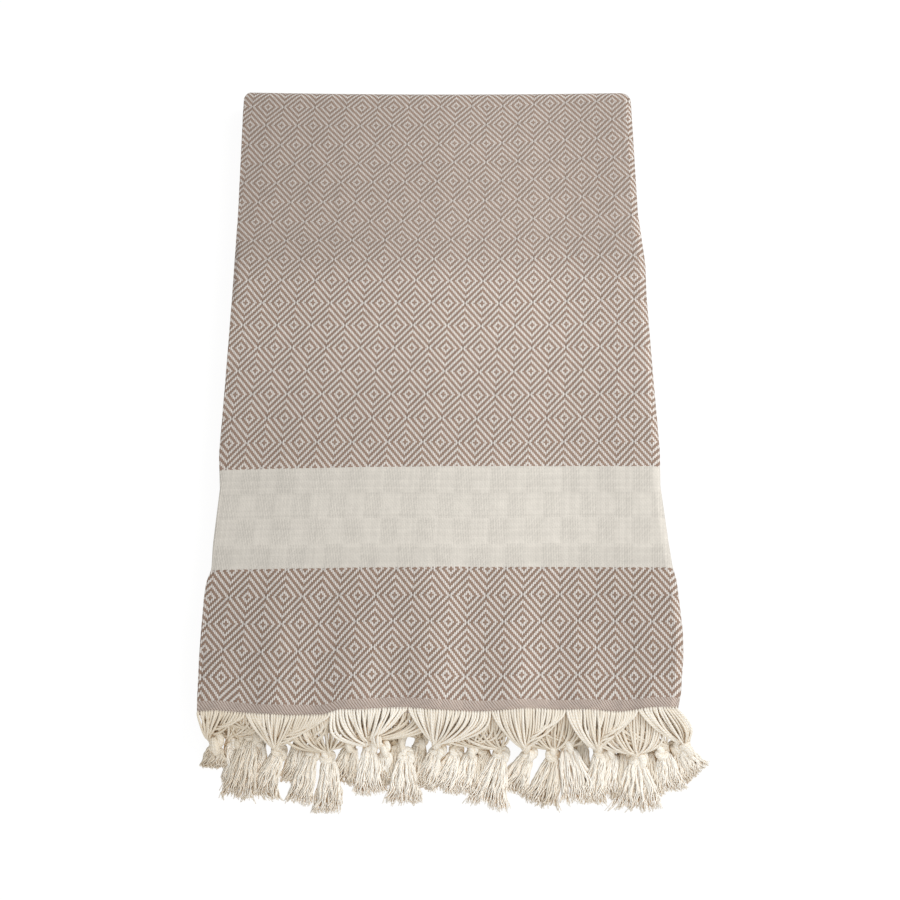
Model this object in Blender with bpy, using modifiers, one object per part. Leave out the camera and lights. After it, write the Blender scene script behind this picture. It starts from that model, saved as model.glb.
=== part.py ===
"""Hammam towel, folded in four across its width and in four along its length.

The cloth is one sheet of 1 mm with a knotted fringe on each end. Its section across the width is
one back-and-forth line of four layers. That section is carried along a second back-and-forth line
of four runs: top run, back turn, bottom run, front turn, third run, inner turn, second run. The
front fringe hangs over the folded front and lies on the surface; the inner fringe lies flat
between the runs. Metres, +Z up, fringe towards -Y, origin at the middle of the footprint.
"""

import math

import bmesh
import bpy
import numpy as np

# ---- The cloth ----
CLOTH_THICKNESS = 0.0010
LAYER_GAP = 0.0003
LAYER_PITCH = CLOTH_THICKNESS + LAYER_GAP
RUN_SPACING = 0.0054  # between the middles of two stacked runs of four layers
FRONT_REACH = 0.0444  # the hem line lies this far behind the foremost tassel tips
FOLDED_LENGTH = 0.4453  # hem line to the rearmost point of the back turn
HEM_Y = FRONT_REACH - (FRONT_REACH + FOLDED_LENGTH) / 2

# Middle height of each run, from the bottom up.
BOTTOM_RUN_Z = CLOTH_THICKNESS / 2 + 1.5 * LAYER_PITCH
THIRD_RUN_Z = BOTTOM_RUN_Z + RUN_SPACING
SECOND_RUN_Z = THIRD_RUN_Z + RUN_SPACING
TOP_RUN_Z = SECOND_RUN_Z + RUN_SPACING

# Centres of the turns, measured back from the hem line.
STACK_HALF = 1.5 * LAYER_PITCH + CLOTH_THICKNESS / 2
BACK_TURN_RADIUS = (TOP_RUN_Z - BOTTOM_RUN_Z) / 2
TIGHT_TURN_RADIUS = RUN_SPACING / 2
BACK_TURN = FOLDED_LENGTH - BACK_TURN_RADIUS - STACK_HALF
INNER_TURN = BACK_TURN - 0.0010
FRONT_TURN = 0.0082
INNER_HEM = 0.0650
CORNER_DRAW = 0.0026  # how far the side edges draw in round the back turn
FOLDED_HALF_WIDTH = 0.1270

# Outline of the top run: distance from the hem line, left edge, right edge.
TOP_OUTLINE = (
    (0.0000, -0.1282, 0.1155),
    (0.0090, -0.1287, 0.1178),
    (0.0320, -0.1293, 0.1205),
    (0.0470, -0.1294, 0.1212),
    (0.0700, -0.1292, 0.1203),
    (0.0800, -0.1286, 0.1198),
    (0.0880, -0.1264, 0.1183),
    (0.1040, -0.1266, 0.1170),
    (0.1410, -0.1251, 0.1147),
    (0.1640, -0.1270, 0.1157),
    (0.2150, -0.1266, 0.1149),
    (0.2750, -0.1264, 0.1142),
    (0.3000, -0.1265, 0.1148),
    (0.3400, -0.1266, 0.1124),
    (0.4240, -0.1283, 0.1127),
)
# Outline of the three runs beneath: distance from the hem line, left edge, right edge.
UNDER_OUTLINE = (
    (0.0000, -0.1266, 0.1140),
    (0.1500, -0.1260, 0.1126),
    (0.2900, -0.1257, 0.1118),
    (0.4350, -0.1262, 0.1116),
)
CROSS_FOLD_BOW = 0.0018  # the middle of each cross fold lies this much inside its corners
CROSS_FOLD_REACH = 0.0950  # and the bow fades out over this length of cloth
NOSE_RIGHT = 0.0040  # how far the outer fold on the right rounds over
NOSE_LEFT = 0.0010
NOSE_INNER = 0.0007
INNER_FOLD_INSET = 0.0012
THIRD_LAYER_INSET = 0.0030  # the two free side edges end this far inside the left fold
FOURTH_LAYER_INSET = 0.0020

# Soft ridges of the top layer: middle, half width, height, how far back from the hem they run.
RIDGES = (
    (-0.1150, 0.0130, 0.0007, 0.060),
    (-0.0820, 0.0200, 0.0011, 0.110),
    (-0.0410, 0.0190, 0.0012, 0.090),
    (-0.0005, 0.0200, 0.0013, 0.150),
    (0.0397, 0.0180, 0.0014, 0.110),
    (0.0770, 0.0170, 0.0010, 0.090),
    (0.1050, 0.0090, 0.0006, 0.060),
)
CROSS_CREASE_Y = 0.2930  # a soft crease across the towel
CROSS_CREASE_HALF = 0.0400
CROSS_CREASE_HEIGHT = 0.0008

# Distances from the hem line at which the top run has a section.
TOP_SECTIONS = (
    0.0, 0.015, 0.032, 0.047, 0.070, 0.080, 0.088, 0.141, 0.164, 0.215, 0.258, 0.293, 0.340, 0.400,
)
BACK_TURN_STEPS = 6
TIGHT_TURN_STEPS = 4
UNDER_RUN_STEPS = 3
OUTER_FOLD_STEPS = 5
TIGHT_FOLD_STEPS = 4
UNDER_LAYER_STEPS = 2

# ---- The fringe ----
# Edges of the warp groups on the top layer, from right to left.
TOP_GROUP_EDGES = (0.1110, 0.0951, 0.0587, 0.0207, -0.0215, -0.0607, -0.1036, -0.1266)
UNDER_GROUPS = 6
GROUP_SLIT = 0.0016
BAND_REACH = 0.0009  # length of the uncut band beyond the hem on the lowest layer
# Tassels at the front: layer (0 is the top), knot x, tip x, tip distance in front of the hem.
FRONT_TASSELS = (
    (0, -0.1206, -0.1262, 0.0250),
    (2, -0.1132, -0.1165, 0.0300),
    (1, -0.1050, -0.1080, 0.0400),
    (3, -0.0970, -0.1000, 0.0330),
    (0, -0.0894, -0.0920, 0.0395),
    (1, -0.0718, -0.0764, 0.0410),
    (2, -0.0630, -0.0660, 0.0440),
    (3, -0.0550, -0.0560, 0.0360),
    (0, -0.0453, -0.0463, 0.0350),
    (1, -0.0350, -0.0372, 0.0360),
    (2, -0.0240, -0.0270, 0.0425),
    (3, -0.0148, -0.0170, 0.0330),
    (0, -0.0061, -0.0080, 0.0330),
    (3, 0.0030, 0.0010, 0.0350),
    (1, 0.0120, 0.0100, 0.0360),
    (2, 0.0244, 0.0195, 0.0425),
    (0, 0.0387, 0.0295, 0.0350),
    (1, 0.0500, 0.0420, 0.0400),
    (2, 0.0598, 0.0550, 0.0380),
    (3, 0.0682, 0.0645, 0.0370),
    (0, 0.0766, 0.0735, 0.0410),
    (3, 0.0860, 0.0830, 0.0385),
    (1, 0.0952, 0.0920, 0.0440),
    (2, 0.1043, 0.1015, 0.0440),
    (0, 0.1145, 0.1272, 0.0220),
)
KNOT_FRONT_TOP = 0.0145  # a top-layer knot's distance in front of the hem line
KNOT_LAYER_STEP = 0.0017  # and each lower layer's knots lie this much nearer to the hem
KNOT_Z = 0.0038
TIP_Z = 0.0018
KNOT_HALF_WIDTH = 0.0033
NECK_HALF_WIDTH = 0.0026
TIP_HALF_WIDTH = 0.0036
KNOT_THICKNESS = 0.0064
KNOT_LENGTH = 0.0070
BRUSH_THICKNESS = 0.0030
TIP_THICKNESS = 0.0024
NECK_STEPS = 4
# Inner tassels: distance in front of the inner hem, half width.
INNER_TASSEL = (
    (0.0220, KNOT_HALF_WIDTH),
    (0.0560, 2 * TIP_HALF_WIDTH),
)
TOOTH_COLUMNS = (-1.0, -0.4, 0.4, 1.0)  # across a tassel, in half widths
TOOTH_EDGE_BULK = 0.45  # thickness at a tassel's edges, as a share of its middle's

TOWEL_COLOUR = (0.445, 0.376, 0.323, 1.0)
FRINGE_COLOUR = (0.740, 0.660, 0.530, 1.0)
COTTON_ROUGHNESS = 0.9


def clear_scene():
    """Remove every object."""
    for obj in list(bpy.data.objects):
        bpy.data.objects.remove(obj, do_unlink=True)


def cotton(name, colour):
    """A matte cotton material."""
    material = bpy.data.materials.new(name)
    material.use_nodes = True
    shader = material.node_tree.nodes["Principled BSDF"]
    shader.inputs["Base Color"].default_value = colour
    shader.inputs["Roughness"].default_value = COTTON_ROUGHNESS
    shader.inputs["Metallic"].default_value = 0.0
    return material


def ease(share):
    """0 to 1 with level ends."""
    share = min(max(share, 0.0), 1.0)
    return share * share * (3.0 - 2.0 * share)


def outline(table, back):
    """Left and right edge at a distance back from the hem line."""
    rows = np.array(table)
    return np.interp(back, rows[:, 0], rows[:, 1]), np.interp(back, rows[:, 0], rows[:, 2])


def top_lift(x, back):
    """How far the top layer stands above its flat height."""
    lift = 0.0
    for middle, half, height, reach in RIDGES:
        across = min(abs(x - middle) / half, 1.0)
        lift += height * math.cos(across * math.pi / 2) ** 2 * (1.0 - ease(back / reach))
    along = min(abs(back - CROSS_CREASE_Y) / CROSS_CREASE_HALF, 1.0)
    return lift + CROSS_CREASE_HEIGHT * (1.0 - ease(along))


def bow(x, back, top):
    """Shift of a point along the length, where the cross folds bow inwards.

    The hem end of the top run stays straight, because the fringe hangs from it.
    """
    inward = CROSS_FOLD_BOW * (1.0 - (x / FOLDED_HALF_WIDTH) ** 2)
    front = (1.0 - ease((back - FRONT_TURN) / CROSS_FOLD_REACH)) * (1.0 - top)
    rear = 1.0 - ease((BACK_TURN - back) / CROSS_FOLD_REACH)
    return inward * (front - rear)


def length_sections():
    """Sections along the folded length: back, z, normal back, normal z, share of the top outline."""
    rows = [(back, TOP_RUN_Z, 0.0, 1.0, 1.0) for back in TOP_SECTIONS]

    def turn(centre, centre_z, radius, first, last, steps, outward, top_shares):
        for step in range(steps + 1):
            share = step / steps
            angle = math.radians(first + (last - first) * share)
            along, up = math.cos(angle), math.sin(angle)
            back, z = centre + radius * along, centre_z + radius * up
            top = top_shares[0] + (top_shares[1] - top_shares[0]) * ease(share)
            rows.append((back, z, outward * along, outward * up, top))

    def run(first, last, z, normal_z):
        for step in range(1, UNDER_RUN_STEPS):
            rows.append((first + (last - first) * step / UNDER_RUN_STEPS, z, 0.0, normal_z, 0.0))

    back_z = (TOP_RUN_Z + BOTTOM_RUN_Z) / 2
    front_z = (BOTTOM_RUN_Z + THIRD_RUN_Z) / 2
    inner_z = (THIRD_RUN_Z + SECOND_RUN_Z) / 2
    turn(BACK_TURN, back_z, BACK_TURN_RADIUS, 90, -90, BACK_TURN_STEPS, 1, (1, 0))
    run(BACK_TURN, FRONT_TURN, BOTTOM_RUN_Z, -1.0)
    turn(FRONT_TURN, front_z, TIGHT_TURN_RADIUS, -90, -270, TIGHT_TURN_STEPS, 1, (0, 0))
    run(FRONT_TURN, INNER_TURN, THIRD_RUN_Z, 1.0)
    turn(INNER_TURN, inner_z, TIGHT_TURN_RADIUS, -90, 90, TIGHT_TURN_STEPS, -1, (0, 0))
    run(INNER_TURN, INNER_HEM, SECOND_RUN_Z, -1.0)
    rows.append((INNER_HEM, SECOND_RUN_Z, 0.0, -1.0, 0.0))
    return rows


def section_points(left, right, top_columns):
    """The section across the width: x, height over the stack's middle, and 1 on the top layer.

    It runs from the free edge of the fourth layer to the right, round the outer fold, back over
    the top layer, round the left fold, to the right on the second layer, round the inner fold,
    and back to the free edge of the third layer.
    """
    levels = [LAYER_PITCH * step for step in (1.5, 0.5, -0.5, -1.5)]
    right_fold = right - CLOTH_THICKNESS / 2 - NOSE_RIGHT
    left_fold = left + CLOTH_THICKNESS / 2 + NOSE_LEFT
    inner_fold = right_fold - INNER_FOLD_INSET
    points = []

    def layer(first, last, level, steps):
        for step in range(steps + 1):
            points.append((first + (last - first) * step / steps, level, 0.0))

    def fold(centre, reach, first, last, steps):
        for step in range(1, steps):
            angle = math.pi * step / steps
            height = first + (last - first) * (1.0 - math.cos(angle)) / 2
            points.append((centre + reach * math.sin(angle), height, 0.0))

    layer(left + FOURTH_LAYER_INSET, right_fold, levels[3], UNDER_LAYER_STEPS)
    fold(right_fold, NOSE_RIGHT, levels[3], levels[0], OUTER_FOLD_STEPS)
    points.append((right_fold, levels[0], 1.0))
    points.extend((x, levels[0], 1.0) for x in top_columns)
    points.append((left_fold, levels[0], 1.0))
    fold(left_fold, -NOSE_LEFT, levels[0], levels[1], TIGHT_FOLD_STEPS)
    layer(left_fold, inner_fold, levels[1], UNDER_LAYER_STEPS)
    fold(inner_fold, NOSE_INNER, levels[1], levels[2], TIGHT_FOLD_STEPS)
    layer(inner_fold, left + THIRD_LAYER_INSET, levels[2], UNDER_LAYER_STEPS)
    return points


def ridge_columns():
    """x of the crests and valleys of the top layer, from right to left."""
    crests = [row[0] for row in RIDGES]
    valleys = [(low + high) / 2 for low, high in zip(crests, crests[1:])]
    return sorted(crests + valleys, reverse=True)


def sheet_object(name, points, kept, thickness, bulk, even, material, collection):
    """A grid laid on the given points and given its thickness, without the cells that aren't kept."""
    rows, columns = points.shape[:2]
    mesh = bpy.data.meshes.new(name)
    work = bmesh.new()
    shares = work.verts.layers.deform.verify()
    bmesh.ops.create_grid(work, x_segments=columns - 1, y_segments=rows - 1, size=1.0)
    places = {}
    for vertex in work.verts:
        column = round((vertex.co.x + 1.0) / 2.0 * (columns - 1))
        row = round((vertex.co.y + 1.0) / 2.0 * (rows - 1))
        places[vertex] = (row, column)
    dropped = []
    for face in work.faces:
        row = min(places[vertex][0] for vertex in face.verts)
        column = min(places[vertex][1] for vertex in face.verts)
        if not kept[row, column]:
            dropped.append(face)
    for vertex in work.verts:
        row, column = places[vertex]
        vertex.co = points[row, column]
        vertex[shares][0] = bulk[row, column]
    bmesh.ops.delete(work, geom=dropped, context="FACES")
    work.to_mesh(mesh)
    work.free()
    mesh.materials.append(material)
    obj = bpy.data.objects.new(name, mesh)
    collection.objects.link(obj)
    obj.vertex_groups.new(name="bulk")
    solidify = obj.modifiers.new("thickness", "SOLIDIFY")
    solidify.thickness = thickness
    solidify.offset = 0.0
    solidify.use_even_offset = even
    solidify.use_quality_normals = True
    solidify.vertex_group = "bulk"
    return obj


def make_towel(material, collection):
    """The cloth with both hems, as one folded sheet."""
    columns = ridge_columns()
    rows = []
    for back, z, normal_back, normal_z, top in length_sections():
        top_left, top_right = outline(TOP_OUTLINE, back)
        under_left, under_right = outline(UNDER_OUTLINE, back)
        drawn = CORNER_DRAW * max(back - BACK_TURN, 0.0) / BACK_TURN_RADIUS
        left = under_left + (top_left - under_left) * top + drawn
        right = under_right + (top_right - under_right) * top - drawn
        row = []
        for x, height, on_top in section_points(left, right, columns):
            lifted = top_lift(x, back) if on_top and top == 1.0 and normal_z == 1.0 else 0.0
            y = HEM_Y + back + normal_back * height + bow(x, back, top)
            row.append((x, y, z + normal_z * height + lifted))
        rows.append(row)
    points = np.array(rows)
    kept = np.ones((points.shape[0] - 1, points.shape[1] - 1), bool)
    bulk = np.ones(points.shape[:2])
    return sheet_object("towel", points, kept, CLOTH_THICKNESS, bulk, True, material, collection)


def group_spans(left, right):
    """For each layer, top first, the spans of its warp groups from left to right."""
    left_fold = left + CLOTH_THICKNESS / 2 + NOSE_LEFT
    right_fold = right - CLOTH_THICKNESS / 2 - NOSE_RIGHT
    layers = [np.clip(TOP_GROUP_EDGES[::-1], left_fold, right_fold)]
    for inset in (NOSE_LEFT + CLOTH_THICKNESS, THIRD_LAYER_INSET, FOURTH_LAYER_INSET):
        layers.append(np.linspace(left + inset, right_fold - INNER_FOLD_INSET, UNDER_GROUPS + 1))
    slit = GROUP_SLIT / 2
    return [[(low + slit, high - slit) for low, high in zip(edges, edges[1:])] for edges in layers]


def comb_columns(left, right):
    """Columns of a comb along the folded edge: x, height, layer, tooth, place across the tooth.

    A tooth of -1 is a slit or a fold. The order is that of section_points.
    """
    levels = [LAYER_PITCH * step for step in (1.5, 0.5, -0.5, -1.5)]
    spans = group_spans(left, right)
    columns = []

    def layer(number, leftwards):
        teeth = list(enumerate(spans[number]))
        for tooth, (low, high) in reversed(teeth) if leftwards else teeth:
            places = reversed(TOOTH_COLUMNS) if leftwards else TOOTH_COLUMNS
            for place in places:
                x = (low + high) / 2 + place * (high - low) / 2
                columns.append((x, levels[number], number, tooth, place))

    def fold(centre, reach, first, last, layers, steps):
        for step in range(steps + 1):
            angle = math.pi * step / steps
            height = first + (last - first) * (1.0 - math.cos(angle)) / 2
            layer_number = layers[0] if step < steps / 2 else layers[1]
            columns.append((centre + reach * math.sin(angle), height, layer_number, -1, 0.0))

    right_fold = right - CLOTH_THICKNESS / 2 - NOSE_RIGHT
    left_fold = left + CLOTH_THICKNESS / 2 + NOSE_LEFT
    inner_fold = right_fold - INNER_FOLD_INSET
    layer(3, leftwards=False)
    fold(right_fold, NOSE_RIGHT, levels[3], levels[0], (3, 0), OUTER_FOLD_STEPS)
    layer(0, leftwards=True)
    fold(left_fold, -NOSE_LEFT, levels[0], levels[1], (0, 1), TIGHT_FOLD_STEPS)
    layer(1, leftwards=False)
    fold(inner_fold, NOSE_INNER, levels[1], levels[2], (1, 2), TIGHT_FOLD_STEPS)
    layer(2, leftwards=True)
    return columns


def comb_cells(columns, band_rows, rows):
    """The cells of a comb that hold cloth: the whole band, and beyond it only the teeth."""
    kept = np.zeros((rows - 1, len(columns) - 1), bool)
    kept[: band_rows - 1] = True
    for index, (here, after) in enumerate(zip(columns, columns[1:])):
        if here[3] >= 0 and here[2:4] == after[2:4]:
            kept[band_rows - 1 :, index] = True
    return kept


def tassel_bulk(place, thickness):
    """Share of the knot's thickness at a place across a tassel."""
    edge = TOOTH_EDGE_BULK if abs(place) == 1.0 else 1.0
    return max(thickness * edge, CLOTH_THICKNESS) / KNOT_THICKNESS


def front_tooth(root_x, half_width, start, start_z, tassel):
    """Rows of one hanging tassel: middle x, reach in front of the hem, z, half width, thickness, heading."""
    layer, knot_x, tip_x, tip_front = tassel
    knot_front = KNOT_FRONT_TOP - layer * KNOT_LAYER_STEP
    heading = math.atan2(tip_x - knot_x, tip_front - knot_front)
    rows = []
    for step in range(1, NECK_STEPS + 1):
        share = step / NECK_STEPS
        narrowing = math.sin(share * math.pi / 2)
        fall = (1.0 - math.cos(share * math.pi)) / 2
        rows.append((
            root_x + (knot_x - root_x) * narrowing,
            start + (knot_front - start) * share,
            start_z + (KNOT_Z - start_z) * fall,
            half_width + (NECK_HALF_WIDTH - half_width) * narrowing,
            CLOTH_THICKNESS * (1.0 + share ** 4),
            heading * share ** 3,
        ))
    brush = math.hypot(tip_x - knot_x, tip_front - knot_front) - KNOT_LENGTH
    for along, half, thickness in (
        (KNOT_LENGTH * 0.3, KNOT_HALF_WIDTH, KNOT_THICKNESS),
        (KNOT_LENGTH * 0.7, KNOT_HALF_WIDTH, KNOT_THICKNESS),
        (KNOT_LENGTH, NECK_HALF_WIDTH, BRUSH_THICKNESS),
        (KNOT_LENGTH + brush * 0.5, TIP_HALF_WIDTH, BRUSH_THICKNESS),
        (KNOT_LENGTH + brush, TIP_HALF_WIDTH, TIP_THICKNESS),
    ):
        x = knot_x + along * math.sin(heading)
        front = knot_front + along * math.cos(heading)
        z = KNOT_Z + (TIP_Z - KNOT_Z) * ease((along - KNOT_LENGTH * 0.7) / brush * 2.0)
        rows.append((x, front, z, half, thickness, heading))
    return rows


def make_front_fringe(material, collection):
    """The comb along the front hem: an uncut band, then one tooth for each knotted tassel."""
    left, right = outline(TOP_OUTLINE, 0.0)
    columns = comb_columns(left, right)
    tassels = [[row for row in FRONT_TASSELS if row[0] == layer] for layer in range(4)]
    spans = group_spans(left, right)
    lanes, bulks = [], []
    for x, height, layer, tooth, place in columns:
        lifted = top_lift(x, 0.0) if layer == 0 and height == 1.5 * LAYER_PITCH else 0.0
        z = TOP_RUN_Z + height + lifted
        band = BAND_REACH + (1.5 * LAYER_PITCH + height)
        lane = [(x, HEM_Y - LAYER_GAP, z), (x, HEM_Y - band, z)]
        bulk = [CLOTH_THICKNESS / KNOT_THICKNESS] * 2
        if tooth >= 0:
            low, high = spans[layer][tooth]
            tassel = tassels[layer][tooth]
            for row in front_tooth((low + high) / 2, (high - low) / 2, band, z, tassel):
                middle, front, row_z, half, thickness, heading = row
                across, down = place * half * math.cos(heading), place * half * math.sin(heading)
                lane.append((middle + across, HEM_Y - front + down, row_z))
                bulk.append(tassel_bulk(place, thickness))
        lanes.append(lane)
        bulks.append(bulk)
    return comb_object("fringe_front", columns, lanes, bulks, KNOT_THICKNESS, material, collection)


def make_inner_fringe(material, collection):
    """The comb along the inner hem, whose tassels lie flat in their own layers."""
    left, right = outline(UNDER_OUTLINE, INNER_HEM)
    columns = comb_columns(left, right)
    spans = group_spans(left, right)
    lanes, bulks = [], []
    for x, height, layer, tooth, place in columns:
        z = SECOND_RUN_Z - height
        lane = [(x, HEM_Y + INNER_HEM - LAYER_GAP, z), (x, HEM_Y + INNER_HEM - 3 * LAYER_GAP, z)]
        if tooth >= 0:
            low, high = spans[layer][tooth]
            middle, half = (low + high) / 2, (high - low) / 2
            for reach, width in INNER_TASSEL:
                lane.append((middle + place * min(width, half), HEM_Y + INNER_HEM - reach, z))
        lanes.append(lane)
        bulks.append([1.0] * len(lane))
    return comb_object("fringe_inner", columns, lanes, bulks, CLOTH_THICKNESS, material, collection)


def comb_object(name, columns, lanes, bulks, thickness, material, collection):
    """A comb from its columns; a column with no tooth repeats its last band point."""
    rows = max(len(lane) for lane in lanes)
    points = np.array([lane + [lane[-1]] * (rows - len(lane)) for lane in lanes]).transpose(1, 0, 2)
    bulk = np.array([shares + [shares[-1]] * (rows - len(shares)) for shares in bulks]).T
    kept = comb_cells(columns, 2, rows)
    return sheet_object(name, points, kept, thickness, bulk, False, material, collection)


def main():
    clear_scene()
    collection = bpy.data.collections.new("hammam_towel")
    bpy.context.scene.collection.children.link(collection)
    towel_cotton = cotton("towel_cotton", TOWEL_COLOUR)
    fringe_cotton = cotton("fringe_cotton", FRINGE_COLOUR)
    make_towel(towel_cotton, collection)
    make_front_fringe(fringe_cotton, collection)
    make_inner_fringe(fringe_cotton, collection)


main()
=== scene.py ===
"""Looks of a folded hammam towel: diamond-woven cotton with a knotted fringe, on a pale floor.

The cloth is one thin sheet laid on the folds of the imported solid. Its section across the width is
one back-and-forth line of four layers, carried along a second back-and-forth line of four runs.
The weave is worked out from the cloth's own ends and picks, so it follows every fold. The fringe
is made of its real parts: cords that fan out of the hem, rolls, overhand knots and cut brushes.
Metres, +Z up, fringe towards -Y.
"""

import logging
import math
from dataclasses import dataclass, field
from enum import Enum

import bpy
import numpy as np
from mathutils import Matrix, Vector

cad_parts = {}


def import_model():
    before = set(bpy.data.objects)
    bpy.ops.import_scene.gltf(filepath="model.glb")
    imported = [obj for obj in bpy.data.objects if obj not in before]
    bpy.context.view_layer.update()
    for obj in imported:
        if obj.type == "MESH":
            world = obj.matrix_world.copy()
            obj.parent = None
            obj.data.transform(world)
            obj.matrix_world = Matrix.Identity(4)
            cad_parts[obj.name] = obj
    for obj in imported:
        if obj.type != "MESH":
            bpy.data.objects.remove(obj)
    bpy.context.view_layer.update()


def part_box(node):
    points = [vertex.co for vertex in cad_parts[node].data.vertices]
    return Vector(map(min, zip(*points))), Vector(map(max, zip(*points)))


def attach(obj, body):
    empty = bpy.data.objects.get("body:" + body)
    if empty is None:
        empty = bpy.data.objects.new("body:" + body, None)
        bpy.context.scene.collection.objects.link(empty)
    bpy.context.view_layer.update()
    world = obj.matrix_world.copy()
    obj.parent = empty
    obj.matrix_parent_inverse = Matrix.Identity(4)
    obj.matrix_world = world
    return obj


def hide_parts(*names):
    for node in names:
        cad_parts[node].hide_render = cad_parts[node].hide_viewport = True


LOG = logging.getLogger("hammam_towel")
MM = 0.001
GOLDEN_ANGLE = math.pi * (3.0 - math.sqrt(5.0))
GOLDEN_SHARE = (math.sqrt(5.0) - 1.0) / 2.0

Array = np.ndarray
Colour = tuple[float, float, float]
Point = tuple[float, float, float]
Socket = bpy.types.NodeSocket
Range = tuple[float, float]
Table = tuple[tuple[float, ...], ...]
# How much, where it starts, and over what length it comes in; a length below 0 runs backwards.
Fade = tuple[float, float, float]


# ---- Small formulas ----


def ease(share: Array) -> Array:
    """0 to 1 with level ends: 3 s squared minus 2 s cubed."""
    held = np.clip(share, 0.0, 1.0)
    return held * held * (3.0 - 2.0 * held)


def unit(vectors: Array) -> Array:
    """The vectors along the last axis at length one."""
    return vectors / np.maximum(np.linalg.norm(vectors, axis=-1, keepdims=True), 1e-12)


def rise(at: Array, fade: Fade) -> Array:
    """A fade at these places: how much, times ease((at - start) / length)."""
    return fade[0] * ease((at - fade[1]) / fade[2])


def walked_along(paths: Array) -> Array:
    """The distance from each path's first point to each of its points."""
    steps = np.linalg.norm(np.diff(paths, axis=1), axis=2)
    return np.concatenate([np.zeros((len(paths), 1)), np.cumsum(steps, axis=1)], axis=1)


def eased_between(stops: Array, rows: Array, at: Array) -> Array:
    """Values between the rows of a table, near + (far - near) ease(share).

    Args:
        stops: the place of each row.
        rows: one value for each row, or one for each row and place.
        at: the places.

    Returns:
        A value for each place.
    """
    leg = np.clip(np.searchsorted(stops, at, side="right") - 1, 0, len(stops) - 2)
    share = ease((at - stops[leg]) / (stops[leg + 1] - stops[leg]))
    near, far = (
        rows[row] if rows.ndim == 1 else np.take_along_axis(rows, row[None], axis=0)[0]
        for row in (leg, leg + 1)
    )
    return near + (far - near) * share


def hermite(start: Array, leaving: Array, end: Array, arriving: Array, share: Array) -> Array:
    """Points of a cubic that leaves start along one vector and arrives at end along another.

    Args:
        start: first points, one for each strand.
        leaving: the speed at the start.
        end: last points.
        arriving: the speed at the end.
        share: 0 to 1 along the strand, strands by rings.

    Returns:
        Strands by rings by 3: (2s^3-3s^2+1) start + (s^3-2s^2+s) leaving + (3s^2-2s^3) end
        + (s^3-s^2) arriving.
    """
    s = share[..., None]
    return (
        (2 * s**3 - 3 * s**2 + 1) * start[:, None]
        + (s**3 - 2 * s**2 + s) * leaving[:, None]
        + (3 * s**2 - 2 * s**3) * end[:, None]
        + (s**3 - s**2) * arriving[:, None]
    )


def smooth_route(stops: Array, rings: int) -> Array:
    """A smooth line through the stops, a Catmull-Rom cubic evened out by its own length.

    Args:
        stops: points by 3.
        rings: number of points wanted.

    Returns:
        Rings by 3.
    """
    padded = np.vstack([2 * stops[0] - stops[1], stops, 2 * stops[-1] - stops[-2]])
    fine = np.linspace(0.0, len(stops) - 1.0, 24 * (len(stops) - 1) + 1)
    leg = np.minimum(fine.astype(int), len(stops) - 2)
    s = (fine - leg)[:, None]
    before, here, after, beyond = (padded[leg + step] for step in range(4))
    line = 0.5 * (
        2 * here
        + (after - before) * s
        + (2 * before - 5 * here + 4 * after - beyond) * s**2
        + (3 * here - before - 3 * after + beyond) * s**3
    )
    length = walked_along(line[None])[0]
    at = np.linspace(0.0, length[-1], rings)
    return np.stack([np.interp(at, length, line[:, axis]) for axis in range(3)], axis=1)


def carried_normals(paths: Array) -> tuple[Array, Array, Array]:
    """Frames along many paths that turn with them and don't twist.

    Each ring's normal is the last one with its part along the new tangent taken away.

    Args:
        paths: strands by rings by 3.

    Returns:
        Tangents, normals and binormals, each strands by rings by 3.
    """
    tangents = unit(np.gradient(paths, axis=1))
    hint = np.broadcast_to(np.array([0.31, 0.17, 0.93]), tangents[:, 0].shape)
    normals = np.empty_like(tangents)
    normals[:, 0] = unit(np.cross(tangents[:, 0], hint))
    for ring in range(1, paths.shape[1]):
        last = normals[:, ring - 1]
        along = np.sum(last * tangents[:, ring], axis=1, keepdims=True)
        normals[:, ring] = unit(last - along * tangents[:, ring])
    return tangents, normals, np.cross(tangents, normals)


def waves(at: Array, lengths: tuple[float, ...], rng: np.random.Generator) -> Array:
    """A soft wander: the mean of sines with these wavelengths and seeded phases."""
    phases = rng.uniform(0.0, 2 * math.pi, len(lengths))
    parts = [np.sin(2 * math.pi * at / size + turn) for size, turn in zip(lengths, phases)]
    return np.mean(parts, axis=0)


# ---- Meshes ----


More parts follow.
